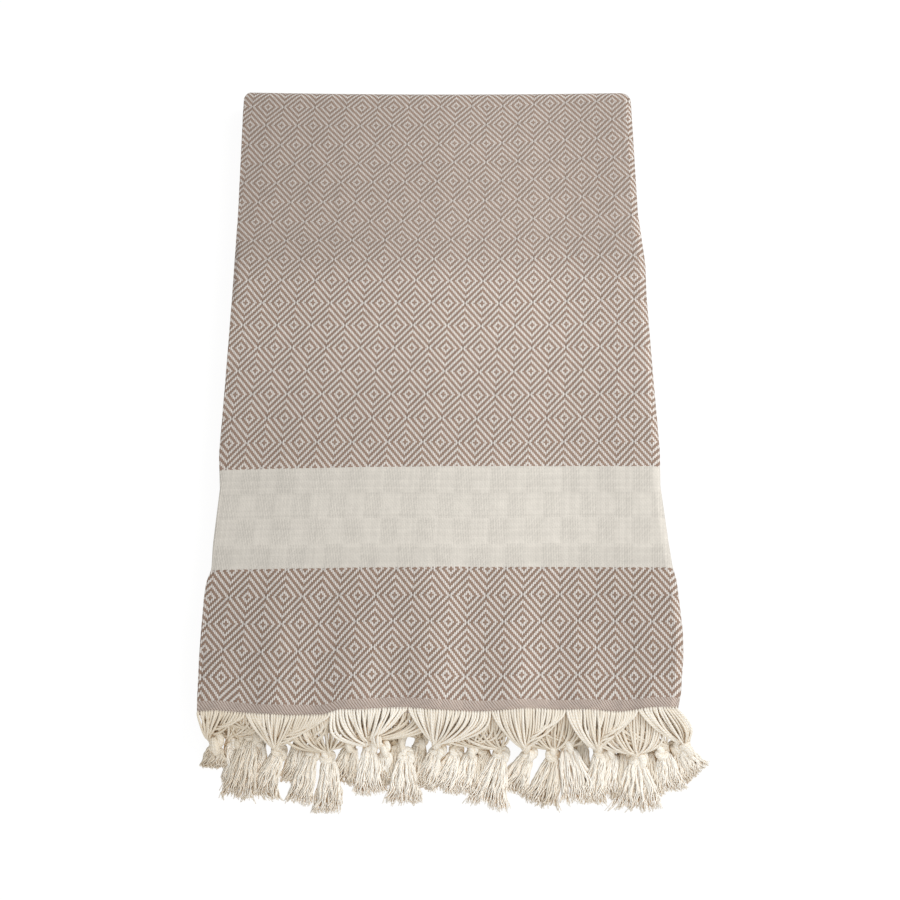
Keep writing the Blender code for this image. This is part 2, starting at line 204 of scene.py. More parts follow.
@dataclass
class Surface:
    """Faces on shared points, with a place in the yarn's own map for each corner.

    Attributes:
        points: points by 3.
        quads: four-sided faces by 4.
        quad_map: faces by 4 by 2.
        triangles: three-sided faces by 3.
        triangle_map: faces by 3 by 2.
        values: named numbers for each point.
    """

    points: Array
    quads: Array
    quad_map: Array
    triangles: Array = field(default_factory=lambda: np.zeros((0, 3), int))
    triangle_map: Array = field(default_factory=lambda: np.zeros((0, 3, 2)))
    values: dict[str, Array] = field(default_factory=dict)

    @staticmethod
    def joined(parts: list["Surface"]) -> "Surface":
        """All the parts as one surface, their faces renumbered."""
        starts = np.cumsum([0] + [len(part.points) for part in parts[:-1]])
        return Surface(
            np.vstack([part.points for part in parts]),
            np.vstack([part.quads + start for part, start in zip(parts, starts)]),
            np.vstack([part.quad_map for part in parts]),
            np.vstack([part.triangles + start for part, start in zip(parts, starts)]),
            np.vstack([part.triangle_map for part in parts]),
            {
                name: np.concatenate([part.values[name] for part in parts])
                for name in parts[0].values
            },
        )

    def to_object(self, name: str, map_name: str, material: bpy.types.Material) -> bpy.types.Object:
        """A smooth mesh object at the origin.

        Args:
            name: the piece's name.
            map_name: the name of its UV map.
            material: its finish.

        Returns:
            The object, linked to the scene.
        """
        mesh = bpy.data.meshes.new(name)
        corners = np.concatenate([self.quads.ravel(), self.triangles.ravel()])
        totals = np.concatenate([np.full(len(self.quads), 4), np.full(len(self.triangles), 3)])
        starts = np.concatenate([[0], np.cumsum(totals)[:-1]])
        mesh.vertices.add(len(self.points))
        mesh.vertices.foreach_set("co", self.points.astype(np.float32).ravel())
        mesh.loops.add(len(corners))
        mesh.loops.foreach_set("vertex_index", corners.astype(np.int32))
        mesh.polygons.add(len(totals))
        mesh.polygons.foreach_set("loop_start", starts.astype(np.int32))
        mesh.polygons.foreach_set("use_smooth", np.ones(len(totals), bool))
        places = np.concatenate([self.quad_map.reshape(-1, 2), self.triangle_map.reshape(-1, 2)])
        layer = mesh.uv_layers.new(name=map_name)
        layer.data.foreach_set("uv", places.astype(np.float32).ravel())
        for label, numbers in self.values.items():
            attribute = mesh.attributes.new(label, "FLOAT", "POINT")
            attribute.data.foreach_set("value", numbers.astype(np.float32))
        mesh.materials.append(material)
        mesh.update(calc_edges=True)
        mesh.validate()
        obj = bpy.data.objects.new(name, mesh)
        bpy.context.scene.collection.objects.link(obj)
        return obj

    def triangle_count(self) -> int:
        """How many triangles the surface has."""
        return 2 * len(self.quads) + len(self.triangles)


def grid_quads(rows: int, columns: int) -> Array:
    """The faces of a grid of points numbered row by row."""
    number = np.arange(rows * columns).reshape(rows, columns)
    corners = (number[:-1, :-1], number[:-1, 1:], number[1:, 1:], number[1:, :-1])
    return np.stack(corners, axis=-1).reshape(-1, 4)


def sweep(paths: Array, radii: Array, sides: int, tone: Array) -> Surface:
    """Closed tubes carried along many paths at once.

    A tube's point is path + radius (cos a normal + sin a binormal), with the angle a in even
    steps round and the frame carried along without twist. Both ends are closed flat.

    Args:
        paths: strands by rings by 3.
        radii: strands by rings.
        sides: number of sides of a tube.
        tone: one number for each strand.

    Returns:
        The tubes, with a map of share round by length along in metres.
    """
    strands, rings = paths.shape[:2]
    _, normals, binormals = carried_normals(paths)
    angle = 2 * math.pi * np.arange(sides) / sides
    spokes = (
        np.cos(angle)[:, None] * normals[:, :, None] + np.sin(angle)[:, None] * binormals[:, :, None]
    )
    points = paths[:, :, None] + radii[:, :, None, None] * spokes
    number = np.arange(strands * rings * sides).reshape(strands, rings, sides)
    after = np.roll(number, -1, axis=2)
    quads = np.stack([number[:, :-1], after[:, :-1], after[:, 1:], number[:, 1:]], axis=-1)
    length = walked_along(paths)
    near, far = (
        np.broadcast_to(part[:, :, None], quads.shape[:3]) for part in (length[:, :-1], length[:, 1:])
    )
    low = np.broadcast_to(np.arange(sides) / sides, quads.shape[:3])
    high = low + 1.0 / sides
    quad_map = np.stack(
        [np.stack(pair, axis=-1) for pair in ((low, near), (high, near), (high, far), (low, far))],
        axis=-2,
    )
    fan = np.arange(1, sides - 1)
    caps = np.concatenate(
        [
            np.stack([end[:, 0 * fan], end[:, fan + second], end[:, fan + third]], axis=-1)
            for end, second, third in ((number[:, 0], 1, 0), (number[:, -1], 0, 1))
        ]
    ).reshape(-1, 3)
    ends = np.concatenate([np.zeros(strands), length[:, -1]])
    cap_map = np.repeat(ends, sides - 2)[:, None, None] * np.array([0.0, 1.0])
    return Surface(
        points.reshape(-1, 3),
        quads.reshape(-1, 4),
        quad_map.reshape(-1, 4, 2),
        caps,
        np.broadcast_to(cap_map, (len(caps), 3, 2)),
        {"tone": np.repeat(tone, rings * sides)},
    )


# ---- Finishes ----


class NodeChart:
    """A material's node tree, with short ways to add the nodes of a formula."""

    def __init__(self, name: str) -> None:
        """Starts a material with one Principled shader."""
        self.material = bpy.data.materials.new(name)
        self.material.use_nodes = True
        self.tree = self.material.node_tree
        self.shader = self.tree.nodes["Principled BSDF"]

    def add(self, kind: str, **settings: object) -> bpy.types.Node:
        """A new node of that kind with these settings."""
        node = self.tree.nodes.new(kind)
        for name, value in settings.items():
            setattr(node, name, value)
        return node

    def feed(self, socket: Socket, value: object) -> None:
        """Links the value to the socket if it is a socket, or else sets it there."""
        if isinstance(value, bpy.types.NodeSocket):
            self.tree.links.new(value, socket)
        elif value is not None:
            socket.default_value = value

    def math(self, operation: str, *values: object) -> Socket:
        """The result of one Math node on up to three values."""
        node = self.add("ShaderNodeMath", operation=operation)
        for socket, value in zip(node.inputs, values):
            self.feed(socket, value)
        return node.outputs[0]

    def total(self, *values: object) -> Socket:
        """The sum of the values."""
        found = values[0]
        for value in values[1:]:
            found = self.math("ADD", found, value)
        return found

    def product(self, *values: object) -> Socket:
        """The product of the values."""
        found = values[0]
        for value in values[1:]:
            found = self.math("MULTIPLY", found, value)
        return found

    def between(self, value: Socket, low: float, high: float) -> Socket:
        """1 where the value is above low and below high."""
        return self.product(
            self.math("GREATER_THAN", value, low), self.math("LESS_THAN", value, high)
        )

    def choose(self, share: Socket, first: object, second: object) -> Socket:
        """The first number at share 0 and the second at share 1."""
        node = self.add("ShaderNodeMix", data_type="FLOAT")
        for index, value in ((0, share), (2, first), (3, second)):
            self.feed(node.inputs[index], value)
        return node.outputs[0]

    def blend(self, share: Socket, first: object, second: object) -> Socket:
        """The first colour at share 0 and the second at share 1."""
        node = self.add("ShaderNodeMix", data_type="RGBA")
        for index, value in ((0, share), (6, first), (7, second)):
            self.feed(node.inputs[index], (*value, 1.0) if isinstance(value, tuple) else value)
        return node.outputs[2]

    def shade(self, colour: Socket, factor: Socket) -> Socket:
        """The colour times a number."""
        node = self.add("ShaderNodeVectorMath", operation="SCALE")
        self.feed(node.inputs[0], colour)
        self.feed(node.inputs["Scale"], factor)
        return node.outputs[0]

    def noise(self, place: Socket, scale: float, detail: float = 2.0) -> Socket:
        """Smooth noise from 0 to 1 at a scale in features per unit."""
        node = self.add("ShaderNodeTexNoise")
        self.feed(node.inputs["Vector"], place)
        node.inputs["Scale"].default_value = scale
        node.inputs["Detail"].default_value = detail
        return node.outputs[0]

    def random(self, value: Socket) -> Socket:
        """A number from 0 to 1 that is fixed for each whole value."""
        node = self.add("ShaderNodeTexWhiteNoise", noise_dimensions="1D")
        self.feed(node.inputs["W"], value)
        return node.outputs[0]

    def swing(self, value: Socket, depth: float) -> Socket:
        """1 plus or minus half the depth, for a value from 0 to 1."""
        return self.math("MULTIPLY_ADD", value, depth, 1.0 - depth / 2)

    def place(self) -> Socket:
        """Object coordinates."""
        return self.add("ShaderNodeTexCoord").outputs["Object"]

    def own_map(self, name: str) -> tuple[Socket, Socket]:
        """The two numbers of the piece's own UV map."""
        split = self.add("ShaderNodeSeparateXYZ")
        self.feed(split.inputs[0], self.add("ShaderNodeUVMap", uv_map=name).outputs[0])
        return split.outputs[0], split.outputs[1]

    def number(self, name: str) -> Socket:
        """A number carried by the piece's points."""
        node = self.add("ShaderNodeAttribute", attribute_name=name, attribute_type="GEOMETRY")
        return node.outputs["Fac"]

    def mottle(self, place: Socket, scale: float, detail: float, depth: float) -> Socket:
        """Noise at that scale as a factor round 1."""
        return self.swing(self.noise(place, scale, detail), depth)

    def held(self, value: Socket) -> Socket:
        """The value held between 0 and 1."""
        return self.math("MINIMUM", self.math("MAXIMUM", value, 0.0), 1.0)

    def off(self, value: object, other: object) -> Socket:
        """How far apart two values are."""
        return self.math("ABSOLUTE", self.math("SUBTRACT", value, other))

    def relief(self, height: Socket, strength: float, distance: float) -> None:
        """Bump from a height in units of the distance."""
        node = self.add("ShaderNodeBump")
        node.inputs["Strength"].default_value = strength
        node.inputs["Distance"].default_value = distance
        self.feed(node.inputs["Height"], height)
        self.feed(self.shader.inputs["Normal"], node.outputs[0])

    def finish(self, **constants: float) -> bpy.types.Material:
        """Sets the shader's own sockets and returns the material."""
        names = {"specular": "Specular IOR Level", "sheen": "Sheen Weight", "rough": "Roughness",
                 "sheen_rough": "Sheen Roughness"}
        for key, value in constants.items():
            self.shader.inputs[names[key]].default_value = value
        return self.material


@dataclass(frozen=True)
class DiamondWeave:
    """Broken diamond twill of cream ends and taupe picks, with cream bands and plain hems.

    A repeat is 22 ends by 28 picks. The warp floats over two picks and under two, one end on for
    each pick, and turns back at 11 ends and at 14 picks, which draws nested diamonds.
    """

    ends: int = 22
    picks: int = 28
    end_turn: float = 11.0
    pick_turn: float = 14.0
    warp_middle: float = 2.5
    weft_middle: float = 0.5
    wave: float = 0.60
    roundness: float = 0.50
    weft_lead: float = 0.35
    end_cover: float = 0.41
    crossing_limit: float = 0.4
    warp_tone: float = 0.86
    warp_crossing: float = 0.40
    weft_tone: float = 0.94
    weft_dulling: float = 0.08
    weft_crossing: float = 0.35
    gap_depth: float = 0.34
    climbing_gap_depth: float = 0.55
    band_gap_depth: float = 0.06
    band_climbing_gap_depth: float = 0.32
    band_relief: float = 0.75
    pinch_length: float = 0.11
    pinch_width: float = 0.055
    pinch_depth: float = 0.20
    hem_fineness: float = 1.78
    band_start: float = 0.0869
    band_end: float = 0.1526
    hem_end: float = 0.0066
    taupe: Colour = (0.318, 0.218, 0.164)
    cream: Colour = (0.690, 0.648, 0.602)
    worn: Colour = (0.425, 0.345, 0.295)
    band_warp: Colour = (0.632, 0.593, 0.531)
    band_weft: Colour = (0.632, 0.595, 0.533)
    hem_warp: Colour = (0.640, 0.550, 0.490)
    hem_weft: Colour = (0.305, 0.215, 0.165)
    thread_unevenness: float = 0.07
    fibre_mottle: tuple[float, float, float] = (260.0, 3.0, 0.20)
    cloth_mottle: tuple[float, float, float] = (14.0, 2.0, 0.06)
    fuzz_scale: float = 900.0
    fuzz_height: float = 0.5
    relief_strength: float = 0.45
    relief_depth: float = 0.0003

    def height_of(self, chart: NodeChart, place: Socket, wave: Socket) -> Socket:
        """A thread's height: it waves over and under, and is round across itself."""
        offset = chart.math("SUBTRACT", chart.math("FRACT", place), 0.5)
        rounded = chart.math(
            "MULTIPLY_ADD", chart.product(offset, offset), -4.0 * self.roundness, self.roundness
        )
        return chart.math("MULTIPLY_ADD", wave, self.wave, rounded)

    def wave_of(self, chart: NodeChart, step: Socket, middle: float) -> Socket:
        """A wave over four crossings with its crest at the middle one."""
        turned = chart.product(chart.math("SUBTRACT", step, middle), math.pi / 2)
        return chart.math("COSINE", turned)

    def material(self) -> bpy.types.Material:
        """Builds the weave from the cloth's own ends and picks.

        An end and a pick each wave over and under in steps of four crossings; whichever stands
        higher shows. The step is the end's number plus the pick's, each turning back at its turn.
        """
        chart = NodeChart("diamond_weave_cotton")
        across, along = chart.own_map("weave")
        from_end = chart.number("from_end")
        hem = chart.math("LESS_THAN", from_end, self.hem_end)
        band = chart.between(from_end, self.band_start, self.band_end)
        finer = chart.choose(hem, 1.0, self.hem_fineness)
        end_place = chart.product(across, float(self.ends), finer)
        pick_place = chart.product(along, float(self.picks), finer)
        end, pick = chart.math("FLOOR", end_place), chart.math("FLOOR", pick_place)

        def turned(value: Socket, turn: float) -> Socket:
            """A count that goes back at its turn."""
            return chart.math("PINGPONG", value, turn)

        def rising(value: Socket, turn: float) -> Socket:
            """1 while a count goes up and 0 while it goes back."""
            return chart.math("LESS_THAN", chart.math("FLOORED_MODULO", value, 2.0 * turn), turn)

        end_step, pick_step = turned(end, self.end_turn), turned(pick, self.pick_turn)
        end_slide = turned(chart.math("SUBTRACT", end_place, 0.5), self.end_turn)
        pick_slide = turned(chart.math("SUBTRACT", pick_place, 0.5), self.pick_turn)
        warp_wave = self.wave_of(chart, chart.total(end_step, pick_slide), self.warp_middle)
        weft_wave = self.wave_of(chart, chart.total(end_slide, pick_step), self.weft_middle)
        twill = chart.math("FLOORED_MODULO", chart.total(end, pick), 3.0)
        warp_over = chart.math("LESS_THAN", twill, 1.5)
        warp_wave = chart.choose(hem, warp_wave, warp_over)
        weft_wave = chart.choose(hem, weft_wave, chart.math("SUBTRACT", 1.0, warp_over))
        warp_height = self.height_of(chart, end_place, warp_wave)
        weft_height = self.height_of(chart, pick_place, weft_wave)
        lead = chart.math("SUBTRACT", chart.math("SUBTRACT", warp_height, weft_height), self.weft_lead)
        off_middle = chart.off(chart.math("FRACT", end_place), 0.5)
        warp_up = chart.product(
            chart.math("GREATER_THAN", lead, 0.0), chart.math("LESS_THAN", off_middle, self.end_cover)
        )
        # Painted shade: each thread is drawn darker where it crosses and dives under the other.
        crossing = chart.math("MINIMUM", chart.math("ABSOLUTE", lead), self.crossing_limit)
        warp_shade = chart.math("MULTIPLY_ADD", crossing, self.warp_crossing, self.warp_tone)
        # Between two ends a pick dips, and the gap is drawn darker as painted shade, deeper where the
        # twill climbs to the right.
        climbs = chart.off(rising(end_place, self.end_turn), rising(pick_place, self.pick_turn))
        dip = chart.math("POWER", chart.product(off_middle, 2.0), 4.0)
        plain_gap = chart.choose(band, self.gap_depth, self.band_gap_depth)
        climbing_gap = chart.choose(band, self.climbing_gap_depth, self.band_climbing_gap_depth)
        gap = chart.math("MULTIPLY_ADD", climbs, climbing_gap, plain_gap)
        dipped = chart.math("SUBTRACT", self.weft_tone, chart.product(dip, gap))
        dipped = chart.math("SUBTRACT", dipped, self.weft_dulling)
        weft_shade = chart.math("MULTIPLY_ADD", crossing, self.weft_crossing, dipped)
        # Where four diamonds meet, the threads are pinched together, and the spot is drawn darker as
        # painted shade.
        ends_share = chart.math("DIVIDE", end_slide, self.end_turn)
        picks_share = chart.math("DIVIDE", pick_slide, self.pick_turn)
        off_cross = chart.off(chart.total(ends_share, picks_share), 1.0)
        off_turn = chart.math("MINIMUM", ends_share, chart.math("SUBTRACT", 1.0, ends_share))
        pinch = chart.product(
            chart.math("LESS_THAN", off_cross, self.pinch_length),
            chart.math("LESS_THAN", off_turn, self.pinch_width),
            chart.math("SUBTRACT", 1.0, band),
        )
        pinched = chart.math("MULTIPLY_ADD", pinch, -self.pinch_depth, 1.0)
        place = chart.place()
        yarn = chart.product(
            chart.swing(chart.random(end), self.thread_unevenness),
            chart.swing(chart.random(pick), self.thread_unevenness),
            chart.mottle(place, *self.fibre_mottle),
            chart.mottle(place, *self.cloth_mottle),
        )
        weft = chart.blend(hem, chart.blend(band, self.taupe, self.band_weft), self.hem_weft)
        warp = chart.blend(hem, chart.blend(band, self.cream, self.band_warp), self.hem_warp)
        colour = chart.blend(warp_up, chart.shade(weft, weft_shade), chart.shade(warp, warp_shade))
        fading = chart.product(
            chart.number("worn"), chart.math("SUBTRACT", 1.0, chart.math("MAXIMUM", hem, band))
        )
        colour = chart.blend(fading, colour, self.worn)
        # The point tone brings the cloth's painted light and shade, and the pinch is painted shade too.
        tone = chart.product(yarn, chart.number("tone"), chart.choose(hem, pinched, 1.0))
        chart.feed(chart.shader.inputs["Base Color"], chart.shade(colour, tone))
        height = chart.product(
            chart.math("MAXIMUM", warp_height, weft_height), chart.choose(band, 1.0, self.band_relief)
        )
        fuzz = chart.product(chart.noise(place, self.fuzz_scale), self.fuzz_height)
        chart.relief(chart.total(height, fuzz), self.relief_strength, self.relief_depth)
        return chart.finish(rough=0.92, specular=0.18, sheen=0.10, sheen_rough=0.6)


@dataclass(frozen=True)
class TwistedCotton:
    """Unbleached warp yarn, two plies twisted together, a little uneven in tone."""

    colour: Colour = (0.880, 0.848, 0.786)
    shadow: Colour = (0.850, 0.768, 0.630)
    # Painted shade: the colour of deep gaps, and the tint of strands that lie in shade.
    crevice_shade_colour: Colour = (0.780, 0.560, 0.320)
    shade_tint_colour: Colour = (0.860, 0.740, 0.560)
    shade_tint_pace: float = 3.5
    plies: float = 2.0
    twists_per_metre: float = 620.0
    ply_depth: float = 0.06
    ply_relief: float = 0.28
    relief_depth: float = 0.00022
    depth_reach: float = 0.0045
    depth_start: float = 0.38
    fibre_scale: float = 1400.0
    fibre_detail: float = 3.0
    fibre_swing: float = 0.10
    fibre_height: float = 0.6
    mottle: tuple[float, float, float] = (90.0, 2.0, 0.08)

    def material(self, name: str) -> bpy.types.Material:
        """Builds the yarn from the map that runs round and along each strand."""
        chart = NodeChart(name)
        around, along = chart.own_map("yarn")
        turn = chart.total(
            chart.product(around, self.plies), chart.product(along, self.twists_per_metre)
        )
        groove = chart.math("ABSOLUTE", chart.math("SINE", chart.product(turn, math.pi)))
        place = chart.place()
        fibre = chart.noise(place, self.fibre_scale, self.fibre_detail)
        tone = chart.product(
            chart.math("MULTIPLY_ADD", groove, self.ply_depth, 1.0 - self.ply_depth),
            chart.swing(fibre, self.fibre_swing),
            chart.mottle(place, *self.mottle),
            chart.number("tone"),
        )
        colour = chart.blend(groove, self.shadow, self.colour)
        # Painted shade, with some of the strands' own random tone: where a strand's tone is below 1,
        # mostly under others or in shade, its colour goes towards a darker golden tint.
        shade_tint_share = chart.math("MULTIPLY_ADD", chart.number("tone"), -self.shade_tint_pace, self.shade_tint_pace)
        colour = chart.blend(chart.held(shade_tint_share), colour, self.shade_tint_colour)
        # Painted shade: deep gaps, found by ambient occlusion, are drawn in a darker golden colour.
        gap = chart.add("ShaderNodeAmbientOcclusion", samples=4)
        gap.inputs["Distance"].default_value = self.depth_reach
        deep = chart.math("MULTIPLY_ADD", gap.outputs["AO"], -1.0 / self.depth_start, 1.0)
        colour = chart.blend(chart.math("MAXIMUM", deep, 0.0), colour, self.crevice_shade_colour)
        chart.feed(chart.shader.inputs["Base Color"], chart.shade(colour, tone))
        height = chart.total(groove, chart.product(fibre, self.fibre_height))
        chart.relief(height, self.ply_relief, self.relief_depth)
        return chart.finish(rough=0.9, specular=0.05)


@dataclass(frozen=True)
class PaleFloor:
    """Matte white board."""

    colour: Colour = (0.14, 0.14, 0.14)
    glow: float = 0.90

    def material(self) -> bpy.types.Material:
        """A plain white that stays just below clipping."""
        chart = NodeChart("white_board")
        chart.shader.inputs["Base Color"].default_value = (*self.colour, 1.0)
        chart.shader.inputs["Emission Color"].default_value = (1.0, 1.0, 1.0, 1.0)
        chart.shader.inputs["Emission Strength"].default_value = self.glow
        return chart.finish(rough=0.9, specular=0.0)


# ---- The cloth ----


@dataclass
class FoldPlan:
    """Where the folded solid's layers, runs and turns lie, in metres.

    Attributes:
        hem_y: the hem line, which is the towel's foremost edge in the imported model.
    """

    hem_y: float
    thickness: float = 0.0010
    layer_pitch: float = 0.0013
    run_spacing: float = 0.0054
    folded_length: float = 0.4453
    front_turn: float = 0.0082
    inner_hem: float = 0.0650
    corner_draw: float = 0.0026
    half_width: float = 0.1270
    cross_bow: float = 0.0018
    cross_bow_reach: float = 0.0950
    nose_right: float = 0.0040
    nose_left: float = 0.0010
    nose_inner: float = 0.0007
    inner_inset: float = 0.0012
    third_inset: float = 0.0030
    fourth_inset: float = 0.0020
    crease: float = 0.2930
    crease_half: float = 0.0400
    crease_height: float = 0.0008
    # Distance from the hem line, left edge, right edge.
    top_outline: Table = (
        (0.0000, -0.1282, 0.1155), (0.0090, -0.1287, 0.1178), (0.0320, -0.1293, 0.1205),
        (0.0470, -0.1294, 0.1212), (0.0700, -0.1292, 0.1203), (0.0800, -0.1286, 0.1198),
        (0.0880, -0.1264, 0.1183), (0.1040, -0.1266, 0.1170), (0.1410, -0.1251, 0.1147),
        (0.1640, -0.1270, 0.1157), (0.2150, -0.1266, 0.1149), (0.2750, -0.1264, 0.1142),
        (0.3000, -0.1265, 0.1148), (0.3400, -0.1266, 0.1124), (0.4240, -0.1283, 0.1127),
    )
    under_outline: Table = (
        (0.0000, -0.1266, 0.1140), (0.1500, -0.1260, 0.1126), (0.2900, -0.1257, 0.1118),
        (0.4350, -0.1262, 0.1116),
    )
    # Middle, half width, height, how far back from the hem the ridge runs.
    ridges: Table = (
        (-0.1150, 0.0130, 0.0007, 0.060),
        (-0.0820, 0.0200, 0.0011, 0.110),
        (-0.0410, 0.0190, 0.0012, 0.090),
        (-0.0005, 0.0200, 0.0013, 0.150),
        (0.0397, 0.0180, 0.0014, 0.110),
        (0.0770, 0.0170, 0.0010, 0.090),
        (0.1050, 0.0090, 0.0006, 0.060),
    )
    # How far the picks wander along the length: a row of x, then rows at distances from the hem.
    sway_x: tuple[float, ...] = (
        -0.127, -0.118, -0.096, -0.083, -0.064, -0.056, -0.021, 0.0, 0.056, 0.111,
    )
    sway: tuple[tuple[float, tuple[float, ...]], ...] = (
        (0.000, (-0.0003, -0.0004, -0.0030, -0.0032, -0.0030, 0.0002, 0.0017, 0.0, 0.0, 0.0017)),
        (0.086, (-0.0020, -0.0017, -0.0013, -0.0010, -0.0006, -0.0004, 0.0, 0.0, 0.0, -0.0002)),
        (0.152, (-0.0029, -0.0025, -0.0019, -0.0015, -0.0010, -0.0008, -0.0003, 0.0, 0.0, 0.0)),
        (0.300, (0.0,) * 10),
    )
    # How far the hem dips forward, in millimetres, fading out behind it: a row of x, then the dips.
    dip_x: tuple[float, ...] = (-128, -116, -98, -80, -62, -44, -25, -7, 11, 29, 47, 65, 84, 102, 117)
    dips: tuple[float, ...] = (
        0.8, 0.6, -0.3, 0.7, 0.0, 1.4, 0.5, 1.2, 1.5, 0.5, 0.1, 0.5, 2.6, 0.6, 0.3,
    )
    dip_reach: float = 0.0130

    def __post_init__(self) -> None:
        """Works out the run heights and the turns from the driving sizes."""
        self.bottom_z = self.thickness / 2 + 1.5 * self.layer_pitch
        self.third_z = self.bottom_z + self.run_spacing
        self.second_z = self.third_z + self.run_spacing
        self.top_z = self.second_z + self.run_spacing
        self.back_radius = (self.top_z - self.bottom_z) / 2
        self.tight_radius = self.run_spacing / 2
        self.stack_half = 1.5 * self.layer_pitch + self.thickness / 2
        self.back_turn = self.folded_length - self.back_radius - self.stack_half
        self.inner_turn = self.back_turn - 0.0010
        self.levels = self.layer_pitch * np.array([1.5, 0.5, -0.5, -1.5])

    def edges(self, outline: Table, back: Array) -> tuple[Array, Array]:
        """Left and right edge of an outline at distances back from the hem line."""
        table = np.array(outline)
        return tuple(np.interp(back, table[:, 0], table[:, side]) for side in (1, 2))

    def lift(self, x: Array, back: Array) -> Array:
        """How far the top layer stands above its flat height: cosine ridges and a soft crease."""
        found = self.crease_height * (1 - ease(np.abs(back - self.crease) / self.crease_half))
        for middle, half, height, reach in self.ridges:
            across = np.minimum(np.abs(x - middle) / half, 1.0)
            found = found + height * np.cos(across * math.pi / 2) ** 2 * (1 - ease(back / reach))
        return found

    def pick_sway(self, x: Array, back: Array) -> Array:
        """How far a pick lies behind its straight line: the sway table, less the hem's dips."""
        rows = np.array([np.interp(x, self.sway_x, row) for _, row in self.sway])
        swayed = eased_between(np.array([distance for distance, _ in self.sway]), rows, back)
        dips = eased_between(np.array(self.dip_x) * MM, np.array(self.dips) * MM, x)
        return swayed - dips * (1 - ease(back / self.dip_reach))

    def bow(self, x: Array, back: Array, top: Array) -> Array:
        """Shift along the length where the cross folds bow inwards in the middle."""
        inward = self.cross_bow * (1 - (x / self.half_width) ** 2)
        front = (1 - ease((back - self.front_turn) / self.cross_bow_reach)) * (1 - top)
        rear = 1 - ease((self.back_turn - back) / self.cross_bow_reach)
        return inward * (front - rear)

    def hem_point(self, x: Array, layer: int) -> Array:
        """Points on the hem line of one layer, 0 being the top one."""
        zero = np.zeros_like(x)
        lifted = self.lift(x, zero) if layer == 0 else zero
        return np.stack(
            [x, self.hem_y + self.pick_sway(x, zero), self.top_z + self.levels[layer] + lifted], axis=-1
        )


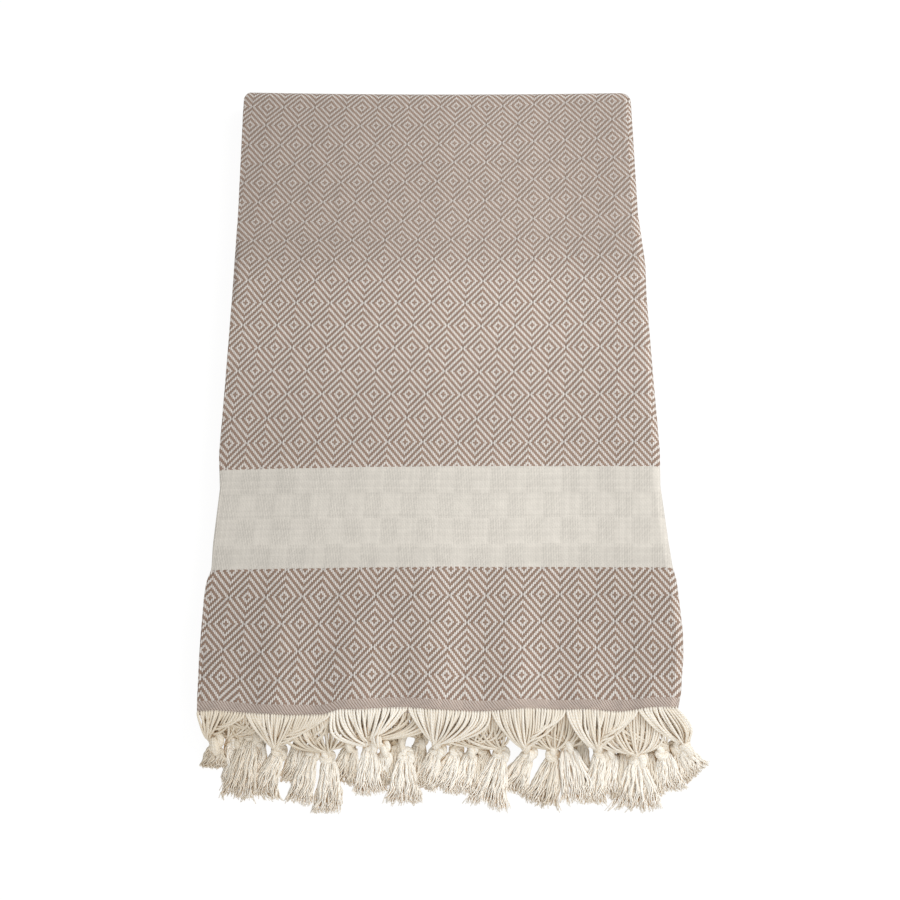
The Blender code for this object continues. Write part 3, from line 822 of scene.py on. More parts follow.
@dataclass
class FoldedTowel:
    """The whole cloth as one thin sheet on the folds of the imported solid."""

    plan: FoldPlan
    weave: DiamondWeave = DiamondWeave()
    top_rows: int = 146
    back_turn_rows: int = 16
    tight_turn_rows: int = 8
    run_rows: int = 14
    top_columns: int = 86
    outer_fold_columns: int = 10
    left_fold_columns: int = 7
    inner_fold_columns: int = 6
    under_columns: int = 11
    repeat_width: float = 0.0194
    repeat_length: float = 0.0330
    repeat_phase_x: float = 0.0732
    repeat_phase_back: float = 0.16336
    repeat_phase_along: float = 11.6253
    grain_skew: float = 0.05
    crowding_from: float = 0.310
    crowding: float = 0.055
    # How far the cloth has strayed from its straight grain, in millimetres: the ends to the right
    # at the left and right edge, then the picks to the rear at the places named in drift_x.
    drift_x: tuple[float, ...] = (-98, -55, -12, 6, 25, 65, 92)
    drift: tuple[tuple[float, float, float, tuple[float, ...]], ...] = (
        (14, 2.0, -0.5, (-1.0, -0.9, -0.6, -1.6, -0.8, 0.0, -2.5)),
        (30, 1.0, -0.3, (-0.7, -0.8, -0.8, -1.7, -1.2, -0.5, -2.0)),
        (66, 0.2, -0.9, (-1.3, -1.2, -1.4, -2.3, -1.4, -0.8, -1.3)),
        (200, -1.1, -0.5, (1.0, 0.1, -0.3, -1.1, -1.5, -0.5, -0.2)),
        (286, -2.3, -0.7, (0.1, -0.4, 0.1, -0.5, -0.7, 0.9, 2.6)),
        (333, -2.7, -2.5, (-2.3, -1.7, -1.0, -1.0, -0.8, 1.1, 3.0)),
        (381, -3.3, -3.7, (-2.0, -1.1, -0.3, 0.0, 0.2, 2.2, 3.8)),
        (417, -4.7, -4.8, (-0.4, 0.0, 1.0, 1.8, 1.2, 3.8, 5.0)),
    )
    # Painted shade: the top layer is drawn darker towards the left, the right, the rear and the front.
    painted_shade_left: Fade = (0.09, 0.03, -0.16)
    painted_shade_right: Fade = (0.09, 0.045, 0.045)
    painted_shade_rear: Fade = (0.07, 0.285, 0.02)
    painted_shade_front: Fade = (0.11, 0.11, -0.05)
    # How much darker the cloth is drawn there, the middle of the place behind the hem, and its half
    # width.
    darker_behind_band: tuple[float, float, float] = (0.05, 0.180, 0.032)
    # Painted light: the ridge crests near the hem are drawn paler.
    painted_crest_light: Fade = (0.16, 0.12, -0.05)
    worn_middle: Fade = (0.06, 0.06, 0.1)
    worn_rear: Fade = (0.18, 0.27, 0.06)
    crest_height: float = 0.0013
    edge_wander: float = 0.0004
    edge_waves: tuple[float, ...] = (0.21, 0.083, 0.037)
    # Height, then a lean and wavelengths across the cloth, and the same along it.
    rough: tuple[tuple[float, float, Range, float, Range], ...] = (
        (0.00022, 0.35, (0.061, 0.043), -0.2, (0.117, 0.071)),
        (0.00008, -0.5, (0.023, 0.017), 0.3, (0.041, 0.029)),
    )
    seed: int = 11

    def rows(self) -> tuple[Array, ...]:
        """Sections along the cloth, from the front hem to the inner hem.

        A turn is centre + radius (cos a, sin a); a run is a straight line.

        Returns:
            Distance back, height, the normal's two parts, and the share of the top outline.
        """
        plan = self.plan

        def run(first: float, last: float, z: float, normal: float, count: int, top: float) -> Array:
            """A level run, without its first point."""
            back = np.linspace(first, last, count + 1)[1:]
            return np.stack([back, 0 * back + z, 0 * back, 0 * back + normal, 0 * back + top])

        def turn(centre: float, z: float, radius: float, first: float, last: float, count: int,
                 outward: float, tops: tuple[float, float]) -> Array:
            """A half round, without its first point."""
            share = np.linspace(0.0, 1.0, count + 1)[1:]
            angle = np.radians(first + (last - first) * share)
            along, up = np.cos(angle), np.sin(angle)
            top = tops[0] + (tops[1] - tops[0]) * ease(share)
            places = (centre + radius * along, z + radius * up)
            return np.stack([*places, outward * along, outward * up, top])

        hem = np.array([[0.0], [plan.top_z], [0.0], [1.0], [1.0]])
        back_z = (plan.top_z + plan.bottom_z) / 2
        front_z = (plan.bottom_z + plan.third_z) / 2
        inner_z = (plan.third_z + plan.second_z) / 2
        tight, tight_rows = plan.tight_radius, self.tight_turn_rows
        parts = [
            hem,
            run(0.0, plan.back_turn, plan.top_z, 1.0, self.top_rows - 1, 1.0),
            turn(plan.back_turn, back_z, plan.back_radius, 90, -90, self.back_turn_rows, 1, (1, 0)),
            run(plan.back_turn, plan.front_turn, plan.bottom_z, -1.0, self.run_rows, 0.0),
            turn(plan.front_turn, front_z, tight, -90, -270, tight_rows, 1, (0, 0)),
            run(plan.front_turn, plan.inner_turn, plan.third_z, 1.0, self.run_rows, 0.0),
            turn(plan.inner_turn, inner_z, tight, -90, 90, tight_rows, -1, (0, 0)),
            run(plan.inner_turn, plan.inner_hem, plan.second_z, -1.0, self.run_rows, 0.0),
        ]
        return tuple(np.concatenate(parts, axis=1))

    def section(self, left: Array, right: Array, wander: Array) -> tuple[Array, Array, Array]:
        """The line across the width, for every row at once.

        A layer is a straight line, and a fold is centre + reach sin a, with its height going over
        as (1 - cos a) / 2.

        Args:
            left: left edge of each row.
            right: right edge of each row.
            wander: how far each row's free side edges stray.

        Returns:
            Place across, height over the stack's middle, and 1 on the top layer.
        """
        plan, levels = self.plan, self.plan.levels
        right_fold = right - plan.thickness / 2 - plan.nose_right
        left_fold = left + plan.thickness / 2 + plan.nose_left
        inner_fold = right_fold - plan.inner_inset

        def layer(first: Array, last: Array, level: float, count: int, top: float) -> Array:
            """A straight stretch with both its ends."""
            share = np.linspace(0.0, 1.0, count)
            x = first[:, None] + (last - first)[:, None] * share
            return np.stack([x, 0 * x + level, 0 * x + top])

        def fold(centre: Array, reach: float, first: float, last: float, count: int) -> Array:
            """A half round without its ends."""
            angle = math.pi * np.linspace(0.0, 1.0, count + 2)[1:-1]
            x = centre[:, None] + reach * np.sin(angle)
            return np.stack([x, 0 * x + first + (last - first) * (1 - np.cos(angle)) / 2, 0 * x])

        parts = [
            layer(left + plan.fourth_inset + wander, right_fold, levels[3], self.under_columns, 0.0),
            fold(right_fold, plan.nose_right, levels[3], levels[0], self.outer_fold_columns),
            layer(right_fold, left_fold, levels[0], self.top_columns, 1.0),
            fold(left_fold, -plan.nose_left, levels[0], levels[1], self.left_fold_columns),
            layer(left_fold, inner_fold, levels[1], self.under_columns, 0.0),
            fold(inner_fold, plan.nose_inner, levels[1], levels[2], self.inner_fold_columns),
            layer(inner_fold, left + plan.third_inset - wander, levels[2], self.under_columns, 0.0),
        ]
        return tuple(np.concatenate(parts, axis=2))

    def surface(self) -> Surface:
        """The cloth's middle surface: section by run, with ends and picks as its map."""
        plan = self.plan
        rng = np.random.default_rng(self.seed)
        back, z, normal_back, normal_z, top = self.rows()
        top_edges = plan.edges(plan.top_outline, back)
        under_edges = plan.edges(plan.under_outline, back)
        drawn = plan.corner_draw * np.maximum(back - plan.back_turn, 0.0) / plan.back_radius
        left = under_edges[0] + (top_edges[0] - under_edges[0]) * top + drawn
        right = under_edges[1] + (top_edges[1] - under_edges[1]) * top - drawn
        walked = np.concatenate([[0.0], np.cumsum(np.hypot(np.diff(back), np.diff(z)))])
        wander = self.edge_wander * waves(walked, self.edge_waves, rng)
        x, height, on_top = self.section(left, right, wander)
        first_run = (np.arange(len(back)) < self.top_rows)[:, None]
        on_top_run = first_run * on_top
        rows_back = np.broadcast_to(back[:, None], x.shape)
        lifted = plan.lift(x, rows_back) * on_top_run
        lifted = lifted + self.unevenness(x, rows_back, rng) * on_top_run
        sway = plan.pick_sway(x, rows_back) * first_run
        y = plan.hem_y + rows_back + normal_back[:, None] * height + sway
        y = y + plan.bow(x, rows_back, top[:, None])
        points = np.stack([x, y, z[:, None] + normal_z[:, None] * height + lifted], axis=-1)

        run_length = self.cloth_length(points, back)
        unrolled = self.cloth_width(x, height)
        drift_x, drift_back = self.strayed(unrolled, run_length)
        lean = self.grain_skew * (run_length - self.repeat_phase_back)
        across = (unrolled - drift_x - lean + self.repeat_phase_x) / self.repeat_width
        pattern_length = run_length - drift_back
        crowded = pattern_length + self.crowding * np.maximum(pattern_length - self.crowding_from, 0.0)
        along = crowded / self.repeat_length - self.repeat_phase_along
        places = np.stack([across, along], axis=-1).reshape(-1, 2)
        quads = grid_quads(*x.shape)
        from_end = np.minimum(run_length, run_length[-1] - run_length)
        # The tone carries the top layer's painted light and shade.
        tone = self.tone(x, rows_back, on_top_run, lifted)
        worn = rise(rows_back, self.worn_middle) + rise(rows_back, self.worn_rear)
        values = {
            "from_end": from_end.ravel(),
            "tone": tone.ravel(),
            "worn": (worn * on_top_run).ravel(),
        }
        return Surface(points.reshape(-1, 3), quads, places[quads], values=values)

    def unevenness(self, x: Array, back: Array, rng: np.random.Generator) -> Array:
        """Small rise and fall of the top layer, a tenth of a millimetre or so."""
        found = np.zeros_like(x)
        for height, lean, across, slant, along in self.rough:
            side, length = waves(x + lean * back, across, rng), waves(back + slant * x, along, rng)
            found = found + height * (side * length)
        return found

    def strayed(self, across: Array, along: Array) -> tuple[Array, Array]:
        """How far the grain has strayed at a place on the cloth, across it and along it."""
        stops = np.array([row[0] for row in self.drift]) * MM
        spots = np.array(self.drift_x) * MM
        ends = np.array([np.interp(across, spots[[0, -1]], row[1:3]) for row in self.drift]) * MM
        picks = np.array([np.interp(across, spots, row[3]) for row in self.drift]) * MM
        return eased_between(stops, ends, along), eased_between(stops, picks, along)

    def cloth_length(self, points: Array, back: Array) -> Array:
        """Distance of each point from the front hem, measured along the cloth."""
        steps = np.linalg.norm(np.diff(points[self.top_rows - 1 :], axis=0), axis=2)
        beyond = back[self.top_rows - 1] + np.cumsum(steps, axis=0)
        flat = np.broadcast_to(back[: self.top_rows, None], (self.top_rows, points.shape[1]))
        return np.concatenate([flat, beyond])

    def cloth_width(self, x: Array, height: Array) -> Array:
        """Place of each point across the unfolded cloth, equal to x on the top layer."""
        steps = np.hypot(np.diff(x, axis=1), np.diff(height, axis=1))
        walked = np.concatenate([np.zeros((len(x), 1)), np.cumsum(steps, axis=1)], axis=1)
        start = self.under_columns + self.outer_fold_columns
        return x[:, [start]] - (walked - walked[:, [start]])

    def tone(self, x: Array, back: Array, on_top: Array, lifted: Array) -> Array:
        """How light the cloth is drawn: painted light on the ridge crests, painted shade at the sides.

        The tone is 1 less the painted shade at both sides, times the painted shade at the rear and the
        front. It rises with the height of the ridges near the hem, as painted light.
        """
        sides = rise(x, self.painted_shade_left) + rise(x, self.painted_shade_right)
        depth, middle, half = self.darker_behind_band
        by_band = 1 - depth * np.exp(-(((back - middle) / half) ** 2))
        rear = (1 - rise(back, self.painted_shade_rear)) * by_band
        front = 1 - rise(back, self.painted_shade_front)
        # Painted light on the ridge crests, growing with their height.
        crest = 1 + rise(back, self.painted_crest_light) * (lifted / self.crest_height)
        return 1 + ((1 - sides) * rear * front * crest - 1) * on_top

    def build(self) -> bpy.types.Object:
        """Builds the sheet, gives it its thickness and sets it on the solid."""
        surface = self.surface()
        obj = surface.to_object("hammam_cloth", "weave", self.weave.material())
        solidify = obj.modifiers.new("cloth_thickness", "SOLIDIFY")
        solidify.thickness = self.plan.thickness
        solidify.offset = 0.0
        solidify.use_even_offset = True
        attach(obj, "root")
        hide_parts("towel")
        LOG.info("hammam_cloth: %d triangles before its thickness", surface.triangle_count())
        return obj


# ---- The fringe ----


class Layer(Enum):
    """The folded layer whose hem a group of warp ends leaves, from the top down."""

    TOP = 0
    SECOND = 1
    THIRD = 2
    FOURTH = 3


@dataclass(frozen=True)
class Tassel:
    """One knotted tassel, in millimetres: across, in front of the hem line, and height.

    Attributes:
        layer: the layer that it hangs from.
        roots: where its group of ends leaves the hem, from left to right.
        gather: where the cords come together.
        knot: the middle of its knot.
        tip: where its brush ends, across and in front of the hem.
        half_width: half the brush's width at its tip.
        girth: the bundle's diameter inside the knot.
        turn: how far the knot is turned about its own line, in degrees.
        lie: height of the brush's middle at its tip.
        via: a place that the roll passes between gather and knot.
        tone: how light its yarn is drawn; below 1 it is painted shade on a tassel that lies in shade.
        hang: how late the outermost cords on the left and right turn in towards the gather; 1 is
            a straight line and 3 a deep scallop.
        belly: how far the outermost cords on the left and right swing out on their way.
        rolled: 1 where the cords on the right are rolled up along the group's lower edge, -1
            where those on the left are, and 0 where neither are.
    """

    layer: Layer
    roots: tuple[float, float]
    gather: Point
    knot: Point
    tip: tuple[float, float]
    half_width: float
    girth: float = 3.1
    turn: float = 0.0
    lie: float = 1.4
    via: Point | None = None
    tone: float = 1.0
    hang: tuple[float, float] = (2.8, 2.8)
    belly: tuple[float, float] = (0.0, 0.0)
    rolled: int = 0


TASSELS = (
    Tassel(Layer.THIRD, (-125.0, -86.5), (-112.4, 6.4, 7.4), (-112.0, 9.0, 4.4), (-110.5, 26.0), 4.5,
           turn=40),
    Tassel(Layer.FOURTH, (-126.0, -106.0), (-107.7, 7.2, 6.6), (-107.5, 9.6, 4.2), (-109.0, 31.0), 5.0,
           turn=85, tone=0.88),
    Tassel(Layer.FOURTH, (-106.0, -87.0), (-97.6, 5.0, 6.9), (-97.0, 7.5, 4.2), (-99.5, 30.0), 5.5,
           turn=110),
    Tassel(Layer.TOP, (-128.3, -103.8), (-122.4, 7.4, 11.0), (-119.3, 11.3, 6.5), (-119.8, 21.5), 6.6,
           girth=4.2, turn=75, lie=2.0, tone=0.85, hang=(1.2, 1.1), rolled=1),
    Tassel(Layer.SECOND, (-126.5, -87.2), (-101.5, 4.2, 12.0), (-101.8, 6.9, 8.0), (-106.6, 38.0), 8.8,
           girth=3.4, turn=15, lie=1.8, tone=0.89),
    Tassel(Layer.TOP, (-103.8, -60.7), (-88.7, 12.3, 8.6), (-87.7, 14.7, 5.4), (-92.6, 37.4), 7.0,
           turn=-25, tone=0.91, hang=(1.2, 1.15), rolled=1),
    Tassel(Layer.FOURTH, (-87.0, -48.0), (-76.0, 6.4, 9.7), (-75.8, 9.0, 6.5), (-79.9, 28.5), 5.5,
           turn=60, tone=0.92),
    Tassel(Layer.SECOND, (-87.2, -59.0), (-69.2, 11.6, 9.6), (-70.4, 14.7, 5.2), (-75.9, 40.8), 7.0,
           turn=5, tone=0.96, rolled=1),
    Tassel(Layer.THIRD, (-86.5, -47.0), (-62.3, 15.0, 7.5), (-61.3, 17.4, 4.8), (-61.7, 44.7), 6.8,
           girth=3.0, turn=150, tone=0.96),
    Tassel(Layer.SECOND, (-59.0, -8.6), (-48.8, 9.4, 9.7), (-50.2, 11.8, 6.8), (-53.6, 29.5), 7.5,
           turn=95, tone=0.92),
    Tassel(Layer.TOP, (-60.7, -37.5), (-43.2, 11.3, 9.6), (-41.0, 12.6, 7.0), (-40.6, 35.2), 7.2,
           turn=35, hang=(2.8, 1.2)),
    Tassel(Layer.TOP, (-37.5, -21.5), (-38.0, 10.0, 13.0), (-33.3, 14.1, 6.0), (-32.4, 27.5), 5.0,
           turn=80, via=(-36.0, 13.5, 11.5), lie=1.0, hang=(1.1, 1.1)),
    Tassel(Layer.FOURTH, (-48.0, -28.0), (-28.7, 8.2, 6.6), (-28.5, 10.6, 4.2), (-28.6, 31.5), 5.0,
           turn=20, tone=0.86),
    Tassel(Layer.THIRD, (-47.0, -8.0), (-20.9, 4.2, 11.5), (-23.4, 17.0, 4.8), (-23.6, 40.8), 9.5,
           girth=3.2, turn=0, via=(-24.5, 9.0, 8.6)),
    Tassel(Layer.FOURTH, (-28.0, -8.5), (-15.8, 6.4, 6.7), (-15.6, 9.0, 4.2), (-17.0, 31.0), 5.0,
           turn=50, tone=0.90),
    Tassel(Layer.TOP, (-21.5, 20.8), (-6.7, 11.9, 10.2), (-7.2, 14.4, 6.2), (-13.6, 32.0), 6.0,
           turn=20, tone=0.97, hang=(1.3, 2.2)),
    Tassel(Layer.FOURTH, (-8.5, 14.0), (2.5, 11.8, 7.6), (2.5, 14.4, 4.8), (-4.4, 33.8), 8.5, turn=-40),
    Tassel(Layer.SECOND, (-8.6, 30.7), (10.8, 11.6, 8.4), (10.9, 14.2, 4.9), (6.1, 35.0), 6.5, turn=70),
    Tassel(Layer.FOURTH, (14.0, 31.0), (17.6, 9.4, 6.6), (17.5, 11.8, 4.2), (14.4, 33.5), 5.0,
           turn=130, tone=0.90),
    Tassel(Layer.THIRD, (-8.0, 31.5), (24.1, 13.4, 7.7), (24.9, 15.9, 4.9), (18.6, 42.4), 10.0,
           girth=3.2, turn=0),
    Tassel(Layer.TOP, (20.8, 58.7), (38.2, 13.5, 9.7), (39.2, 15.9, 5.2), (31.3, 34.4), 7.5,
           turn=30, tone=0.95, hang=(1.5, 3.0), rolled=1),
    Tassel(Layer.SECOND, (30.7, 70.0), (52.5, 13.8, 7.3), (52.8, 16.4, 4.6), (45.2, 41.3), 8.5,
           turn=120, tone=0.92),
    Tassel(Layer.THIRD, (31.5, 71.0), (58.3, 9.9, 9.3), (59.0, 12.4, 7.0), (65.4, 39.7), 10.0,
           turn=60, lie=2.0),
    Tassel(Layer.FOURTH, (31.0, 70.5), (66.5, 5.4, 6.7), (66.4, 8.0, 4.2), (68.0, 31.0), 5.0, turn=10,
           tone=0.90),
    Tassel(Layer.TOP, (58.7, 95.1), (74.4, 14.1, 11.0), (76.0, 16.2, 6.6), (72.4, 40.2), 5.5,
           turn=-15, tone=0.95, hang=(1.6, 2.6), rolled=1),
    Tassel(Layer.FOURTH, (70.5, 83.0), (82.0, 11.7, 7.5), (81.8, 14.3, 4.8), (80.8, 36.2), 5.5,
           turn=85),
    Tassel(Layer.FOURTH, (83.0, 96.0), (88.2, 10.4, 6.8), (88.4, 13.0, 4.3), (87.0, 39.0), 5.5,
           turn=35, tone=0.90),
    Tassel(Layer.FOURTH, (96.0, 108.5), (100.6, 9.4, 6.8), (100.8, 12.0, 4.4), (100.6, 37.5), 5.5,
           turn=5, tone=0.90),
    Tassel(Layer.SECOND, (70.0, 109.3), (94.1, 16.8, 7.9), (94.3, 19.4, 5.4), (93.8, 44.7), 13.0,
           girth=3.6, turn=25),
    Tassel(Layer.THIRD, (71.0, 109.0), (108.2, 12.6, 9.0), (108.6, 15.4, 6.2), (111.5, 34.0), 7.8,
           turn=140),
    Tassel(Layer.TOP, (95.1, 115.2), (117.6, 11.6, 10.0), (117.6, 14.6, 5.8), (126.0, 24.0), 6.8,
           girth=3.8, turn=55, tone=0.97, hang=(1.2, 1.4), belly=(0.0, 5.0)),
    Tassel(Layer.SECOND, (99.0, 115.6), (118.2, 10.8, 8.4), (115.8, 14.0, 4.4), (119.5, 27.0), 5.5,
           girth=3.2, turn=20, tone=0.96, hang=(1.2, 1.2), belly=(0.0, 4.6)),
    Tassel(Layer.THIRD, (104.0, 115.8), (117.4, 10.4, 6.8), (113.4, 12.6, 3.6), (116.0, 30.0), 4.5,
           girth=2.8, turn=80, tone=0.93, hang=(1.2, 1.2), belly=(0.0, 4.8)),
)


@dataclass
class KnottedFringe:
    """The front fringe: fans of twisted cords, rolls, overhand knots and cut brushes.

    Attributes:
        plan: the cloth's fold plan, which gives the hem line.
        yarn: the twisted cotton of cords and knots.
        cut_yarn: the paler, looser cotton of the brushes.
    """

    plan: FoldPlan
    yarn: TwistedCotton = TwistedCotton()
    cut_yarn: TwistedCotton = TwistedCotton(
        colour=(0.955, 0.928, 0.868), shadow=(0.930, 0.880, 0.780), ply_depth=0.03, ply_relief=0.12
    )
    # Cords, each with a stitch in the hem and a thicker place just in front of it.
    cord_pitch: float = 0.00142
    cord_radius: float = 0.00070
    cord_stray: float = 0.00010
    cord_sizes: Range = (0.90, 1.10)
    cord_tones: Range = (0.94, 1.04)
    cord_taper: float = 0.12
    picot_radius: float = 0.00074
    picot_place: float = 0.0016
    picot_length: float = 0.0009
    stitch_back: float = 0.0012
    stitch_up: float = 0.00055
    # The fan: how late the cords turn in, fall and sag.
    inner_hang: float = 1.5
    hang_spread: Range = (0.88, 1.12)
    top_drop: float = 1.5
    under_drop: float = 0.75
    sag: Point = (0.00045, 0.0002, 0.0003)
    fan_rings: int = 12
    roll_rings: int = 7
    # The roll into the knot, and the one along a group's lower edge.
    roll_radius: float = 0.0024
    roll_twist: float = math.radians(150.0)
    roll_tightness: float = 0.8
    roll_drop: float = 0.0022
    roll_crown: float = 0.0016
    roll_turns: float = 0.8
    # The knot, its sizes in thicknesses of the bundle.
    knot_strands: int = 9
    knot_rings: int = 46
    knot_turn: float = 1.1 * math.pi
    knot_arm: float = 0.34
    knot_core: float = 0.36
    knot_flatness: float = 0.92
    knot_fall: float = 0.12
    torus_radius: float = 0.76
    torus_tube: float = 0.43
    strand_share: float = 0.22
    # The brush.
    brush_cords: int = 26
    cord_threads: int = 5
    brush_rings: int = 11
    brush_rise: float = 0.0017
    brush_lengths: Range = (0.74, 1.10)
    brush_fall: float = 0.10
    brush_swerve: float = 0.20
    brush_wave: float = 0.0008
    thread_wave: float = 0.0002
    thread_waves: float = 1.7
    cord_turns: float = 1.2
    thread_ring: float = 0.00060
    thread_radius: float = 0.00044
    fray: float = 4.5
    fray_from: float = 0.55
    stray: float = 0.0007
    # Painted shade: the cords low in a brush are drawn darker.
    under_shade: float = 0.08
    # All of them.
    # Painted shade: the cords of each lower layer are drawn darker.
    layer_shade: float = 0.05
    floor_gap: float = 0.00035
    seed: int = 29

    def place(self, spot: Point) -> Array:
        """A tassel's place, given in millimetres from the hem line, in the frame."""
        return np.array([spot[0] * MM, self.plan.hem_y - spot[1] * MM, spot[2] * MM])

    def heading(self, tassel: Tassel) -> Array:
        """The level direction from a tassel's knot to its tip."""
        return unit(np.array([tassel.tip[0] - tassel.knot[0], tassel.knot[1] - tassel.tip[1], 0.0]))

    def cords(self, tassel: Tassel, rng: np.random.Generator) -> Surface:
        """The cords of one group, from the hem through the gather and the roll into the knot.

        A cord has one stitch in the hem. From the hem's edge it goes share^late of the way across
        and 1 - (1 - share)^(0.7 + 0.55 late) of the way forward, to its own place in the round
        bundle at the gather. It keeps that place while the bundle twists and tightens along a
        smooth line to the knot.
        """
        low, high = tassel.roots[0] * MM, tassel.roots[1] * MM
        count = max(3, round((high - low) / self.cord_pitch))
        edge = self.cord_pitch / 2
        x = np.linspace(low + edge, high - edge, count) + rng.normal(0.0, self.cord_stray, count)
        roots = self.plan.hem_point(x, tassel.layer.value) + np.array([0.0, 0.0, self.stitch_up])
        stops = [self.place(stop) for stop in (tassel.gather, tassel.via, tassel.knot) if stop]
        route = smooth_route(np.array(stops), self.roll_rings + 1)
        direction = unit(route[1] - route[0])
        side = unit(np.cross([0.0, 0.0, 1.0], direction))
        over = np.cross(direction, side)

        rank = np.linspace(-1.0, 1.0, count)
        spread = 2 * np.mod(np.arange(count) * GOLDEN_SHARE, 1.0) - 1
        depth = np.sqrt(np.maximum(1 - rank**2, 0.0)) * spread
        gathered = route[0] + self.roll_radius * (rank[:, None] * side + depth[:, None] * over)
        share = np.linspace(0.0, 1.0, self.fan_rings)[None]
        outer = np.where(rank < 0, tassel.hang[0], tassel.hang[1])
        late = self.inner_hang + (outer - self.inner_hang) * np.abs(rank) ** 1.5
        late = (late * rng.uniform(*self.hang_spread, count))[:, None]
        going = gathered - roots
        drop = self.top_drop if tassel.layer is Layer.TOP else self.under_drop
        shares = (share**late, 1 - (1 - share) ** (0.7 + 0.55 * late), share**drop)
        steps = [going[:, axis, None] * gone for axis, gone in enumerate(shares)]
        fan = roots[:, None] + np.stack(steps, axis=-1)
        belly = np.where(rank < 0, -tassel.belly[0], tassel.belly[1]) * MM * np.abs(rank) ** 0.6
        fan[..., 0] += belly[:, None] * np.sin(math.pi * share)
        if tassel.rolled:
            fan = self.rolled_up(fan, roots, route[0], rank * tassel.rolled)
        sag = np.sin(math.pi * share) ** 2
        fan = fan + sag[..., None] * rng.normal(0.0, 1.0, (count, 1, 3)) * np.array(self.sag)

        along = np.linspace(0.0, 1.0, self.roll_rings + 1)[1:]
        twist = np.arctan2(depth, rank)[:, None] + self.roll_twist * along
        tight_radius = 0.5 * tassel.girth * MM * self.roll_tightness
        tight = self.roll_radius + (tight_radius - self.roll_radius) * ease(along)
        arm = (np.hypot(rank, depth)[:, None] * tight)[..., None]
        roll = route[1:] + arm * (np.cos(twist)[..., None] * side + np.sin(twist)[..., None] * over)
        stitch = roots[:, None] + np.array([0.0, self.stitch_back, 0.0])
        paths = np.concatenate([stitch, fan, roll], axis=1)
        walked = walked_along(paths)
        picot = np.exp(-(((walked - self.picot_place) / self.picot_length) ** 2))
        thinning = 1 - self.cord_taper * walked / walked[:, -1:]
        radius = self.cord_radius * rng.uniform(*self.cord_sizes, (count, 1)) * thinning
        radius = radius + (self.picot_radius - self.cord_radius) * picot
        radius = radius * (0.5 + 0.5 * ease(walked / self.stitch_back))
        # Painted shade: lower layers are drawn darker.
        layer_shading = 1 - self.layer_shade * tassel.layer.value
        return sweep(paths, radius, 5, tassel.tone * rng.uniform(*self.cord_tones, count) * layer_shading)

    def rolled_up(self, fan: Array, roots: Array, gather: Array, rank: Array) -> Array:
        """Cords on one side hang straight to the group's lower edge and run along it in a roll.

        The edge runs from below the outermost root to the gather. A cord meets it at its own
        share, 1 - rank, and then follows it, winding round it at a radius that grows with the
        square root of the number of cords that have joined. Two passes of smoothing soften the
        bend, and the last fifth goes over into the fan, so that all cords end at the gather.

        Args:
            fan: the cords as they would fan out, strands by rings by 3.
            roots: where they leave the hem.
            gather: where the roll ends.
            rank: -1 to 1 across the group, 1 at the outermost cord of the rolled side.

        Returns:
            The cords, with those of rank above 0 rolled up.
        """
        joins = np.clip(rank, 0.0, 1.0)[:, None, None]
        start = roots[np.argmax(rank)] + np.array([0.0, -self.roll_drop, 0.0])
        edge = gather - start
        meet = start + edge * (1.0 - joins)
        meet[..., 2] += self.roll_crown * (4 * joins * (1 - joins))[..., 0]
        first = np.linalg.norm(meet - roots[:, None], axis=2, keepdims=True)
        second = np.linalg.norm(gather - meet, axis=2, keepdims=True)
        share = np.linspace(0.0, 1.0, fan.shape[1])[None, :, None]
        turn_at = np.clip(first / (first + second), 0.15, 0.85)
        down = roots[:, None] + (meet - roots[:, None]) * np.minimum(share / turn_at, 1.0)
        on = np.clip((share - turn_at) / (1.0 - turn_at), 0.0, 1.0)
        placed = 1.0 - joins * (1.0 - on)
        side = unit(np.cross([0.0, 0.0, 1.0], edge))
        over = unit(np.cross(edge, side))
        own_angle = np.arange(len(roots))[:, None, None] * GOLDEN_ANGLE
        angle = own_angle + self.roll_turns * 2 * math.pi * placed
        arm = self.roll_radius * np.sqrt(np.clip(placed, 0.3, 1.0)) * ease(on * 2.0)
        path = down + (gather - meet) * on + arm * (np.cos(angle) * side + np.sin(angle) * over)
        for _ in range(2):
            path[:, 1:-1] = (path[:, :-2] + 2 * path[:, 1:-1] + path[:, 2:]) / 4
        mixed = ease(np.clip(rank / 0.25, 0.0, 1.0))[:, None, None]
        tail = ease((share - 0.8) / 0.2)
        path = path + (fan - path) * tail
        return fan + (path - fan) * mixed

    def knot_line(self) -> tuple[Array, Array, Array]:
        """The middle line of an overhand knot for a bundle one unit thick, with its frame.

        It is a three-lobed knot on a ring, ((R + r cos 3a) cos 2a, (R + r cos 3a) sin 2a,
        r sin 3a), cut open at its outermost point, with both ends led back to the line of pull,
        which is y.
        """
        angle = np.linspace(0.16, 2 * math.pi - 0.16, self.knot_rings - 8)
        out = self.torus_radius + self.torus_tube * np.cos(3 * angle)
        height = self.torus_tube * np.sin(3 * angle)
        loop = np.stack([out * np.cos(2 * angle), out * np.sin(2 * angle), height], axis=1)
        share = np.linspace(0.0, 1.0, 5)[:-1, None]
        begin = np.array([0.15, -1.25, 0.0])
        finish = np.array([0.15, 1.25, 0.0])
        enter = begin + (loop[0] - begin) * share
        leave = (finish + (loop[-1] - finish) * share)[::-1]
        line = np.concatenate([enter, loop, leave])
        padded = np.concatenate([line[:1], line, line[-1:]])
        line = (padded[:-2] + 2 * padded[1:-1] + padded[2:]) / 4
        line[:, 0] -= 0.35
        _, normals, binormals = carried_normals(line[None])
        return line, normals[0], binormals[0]

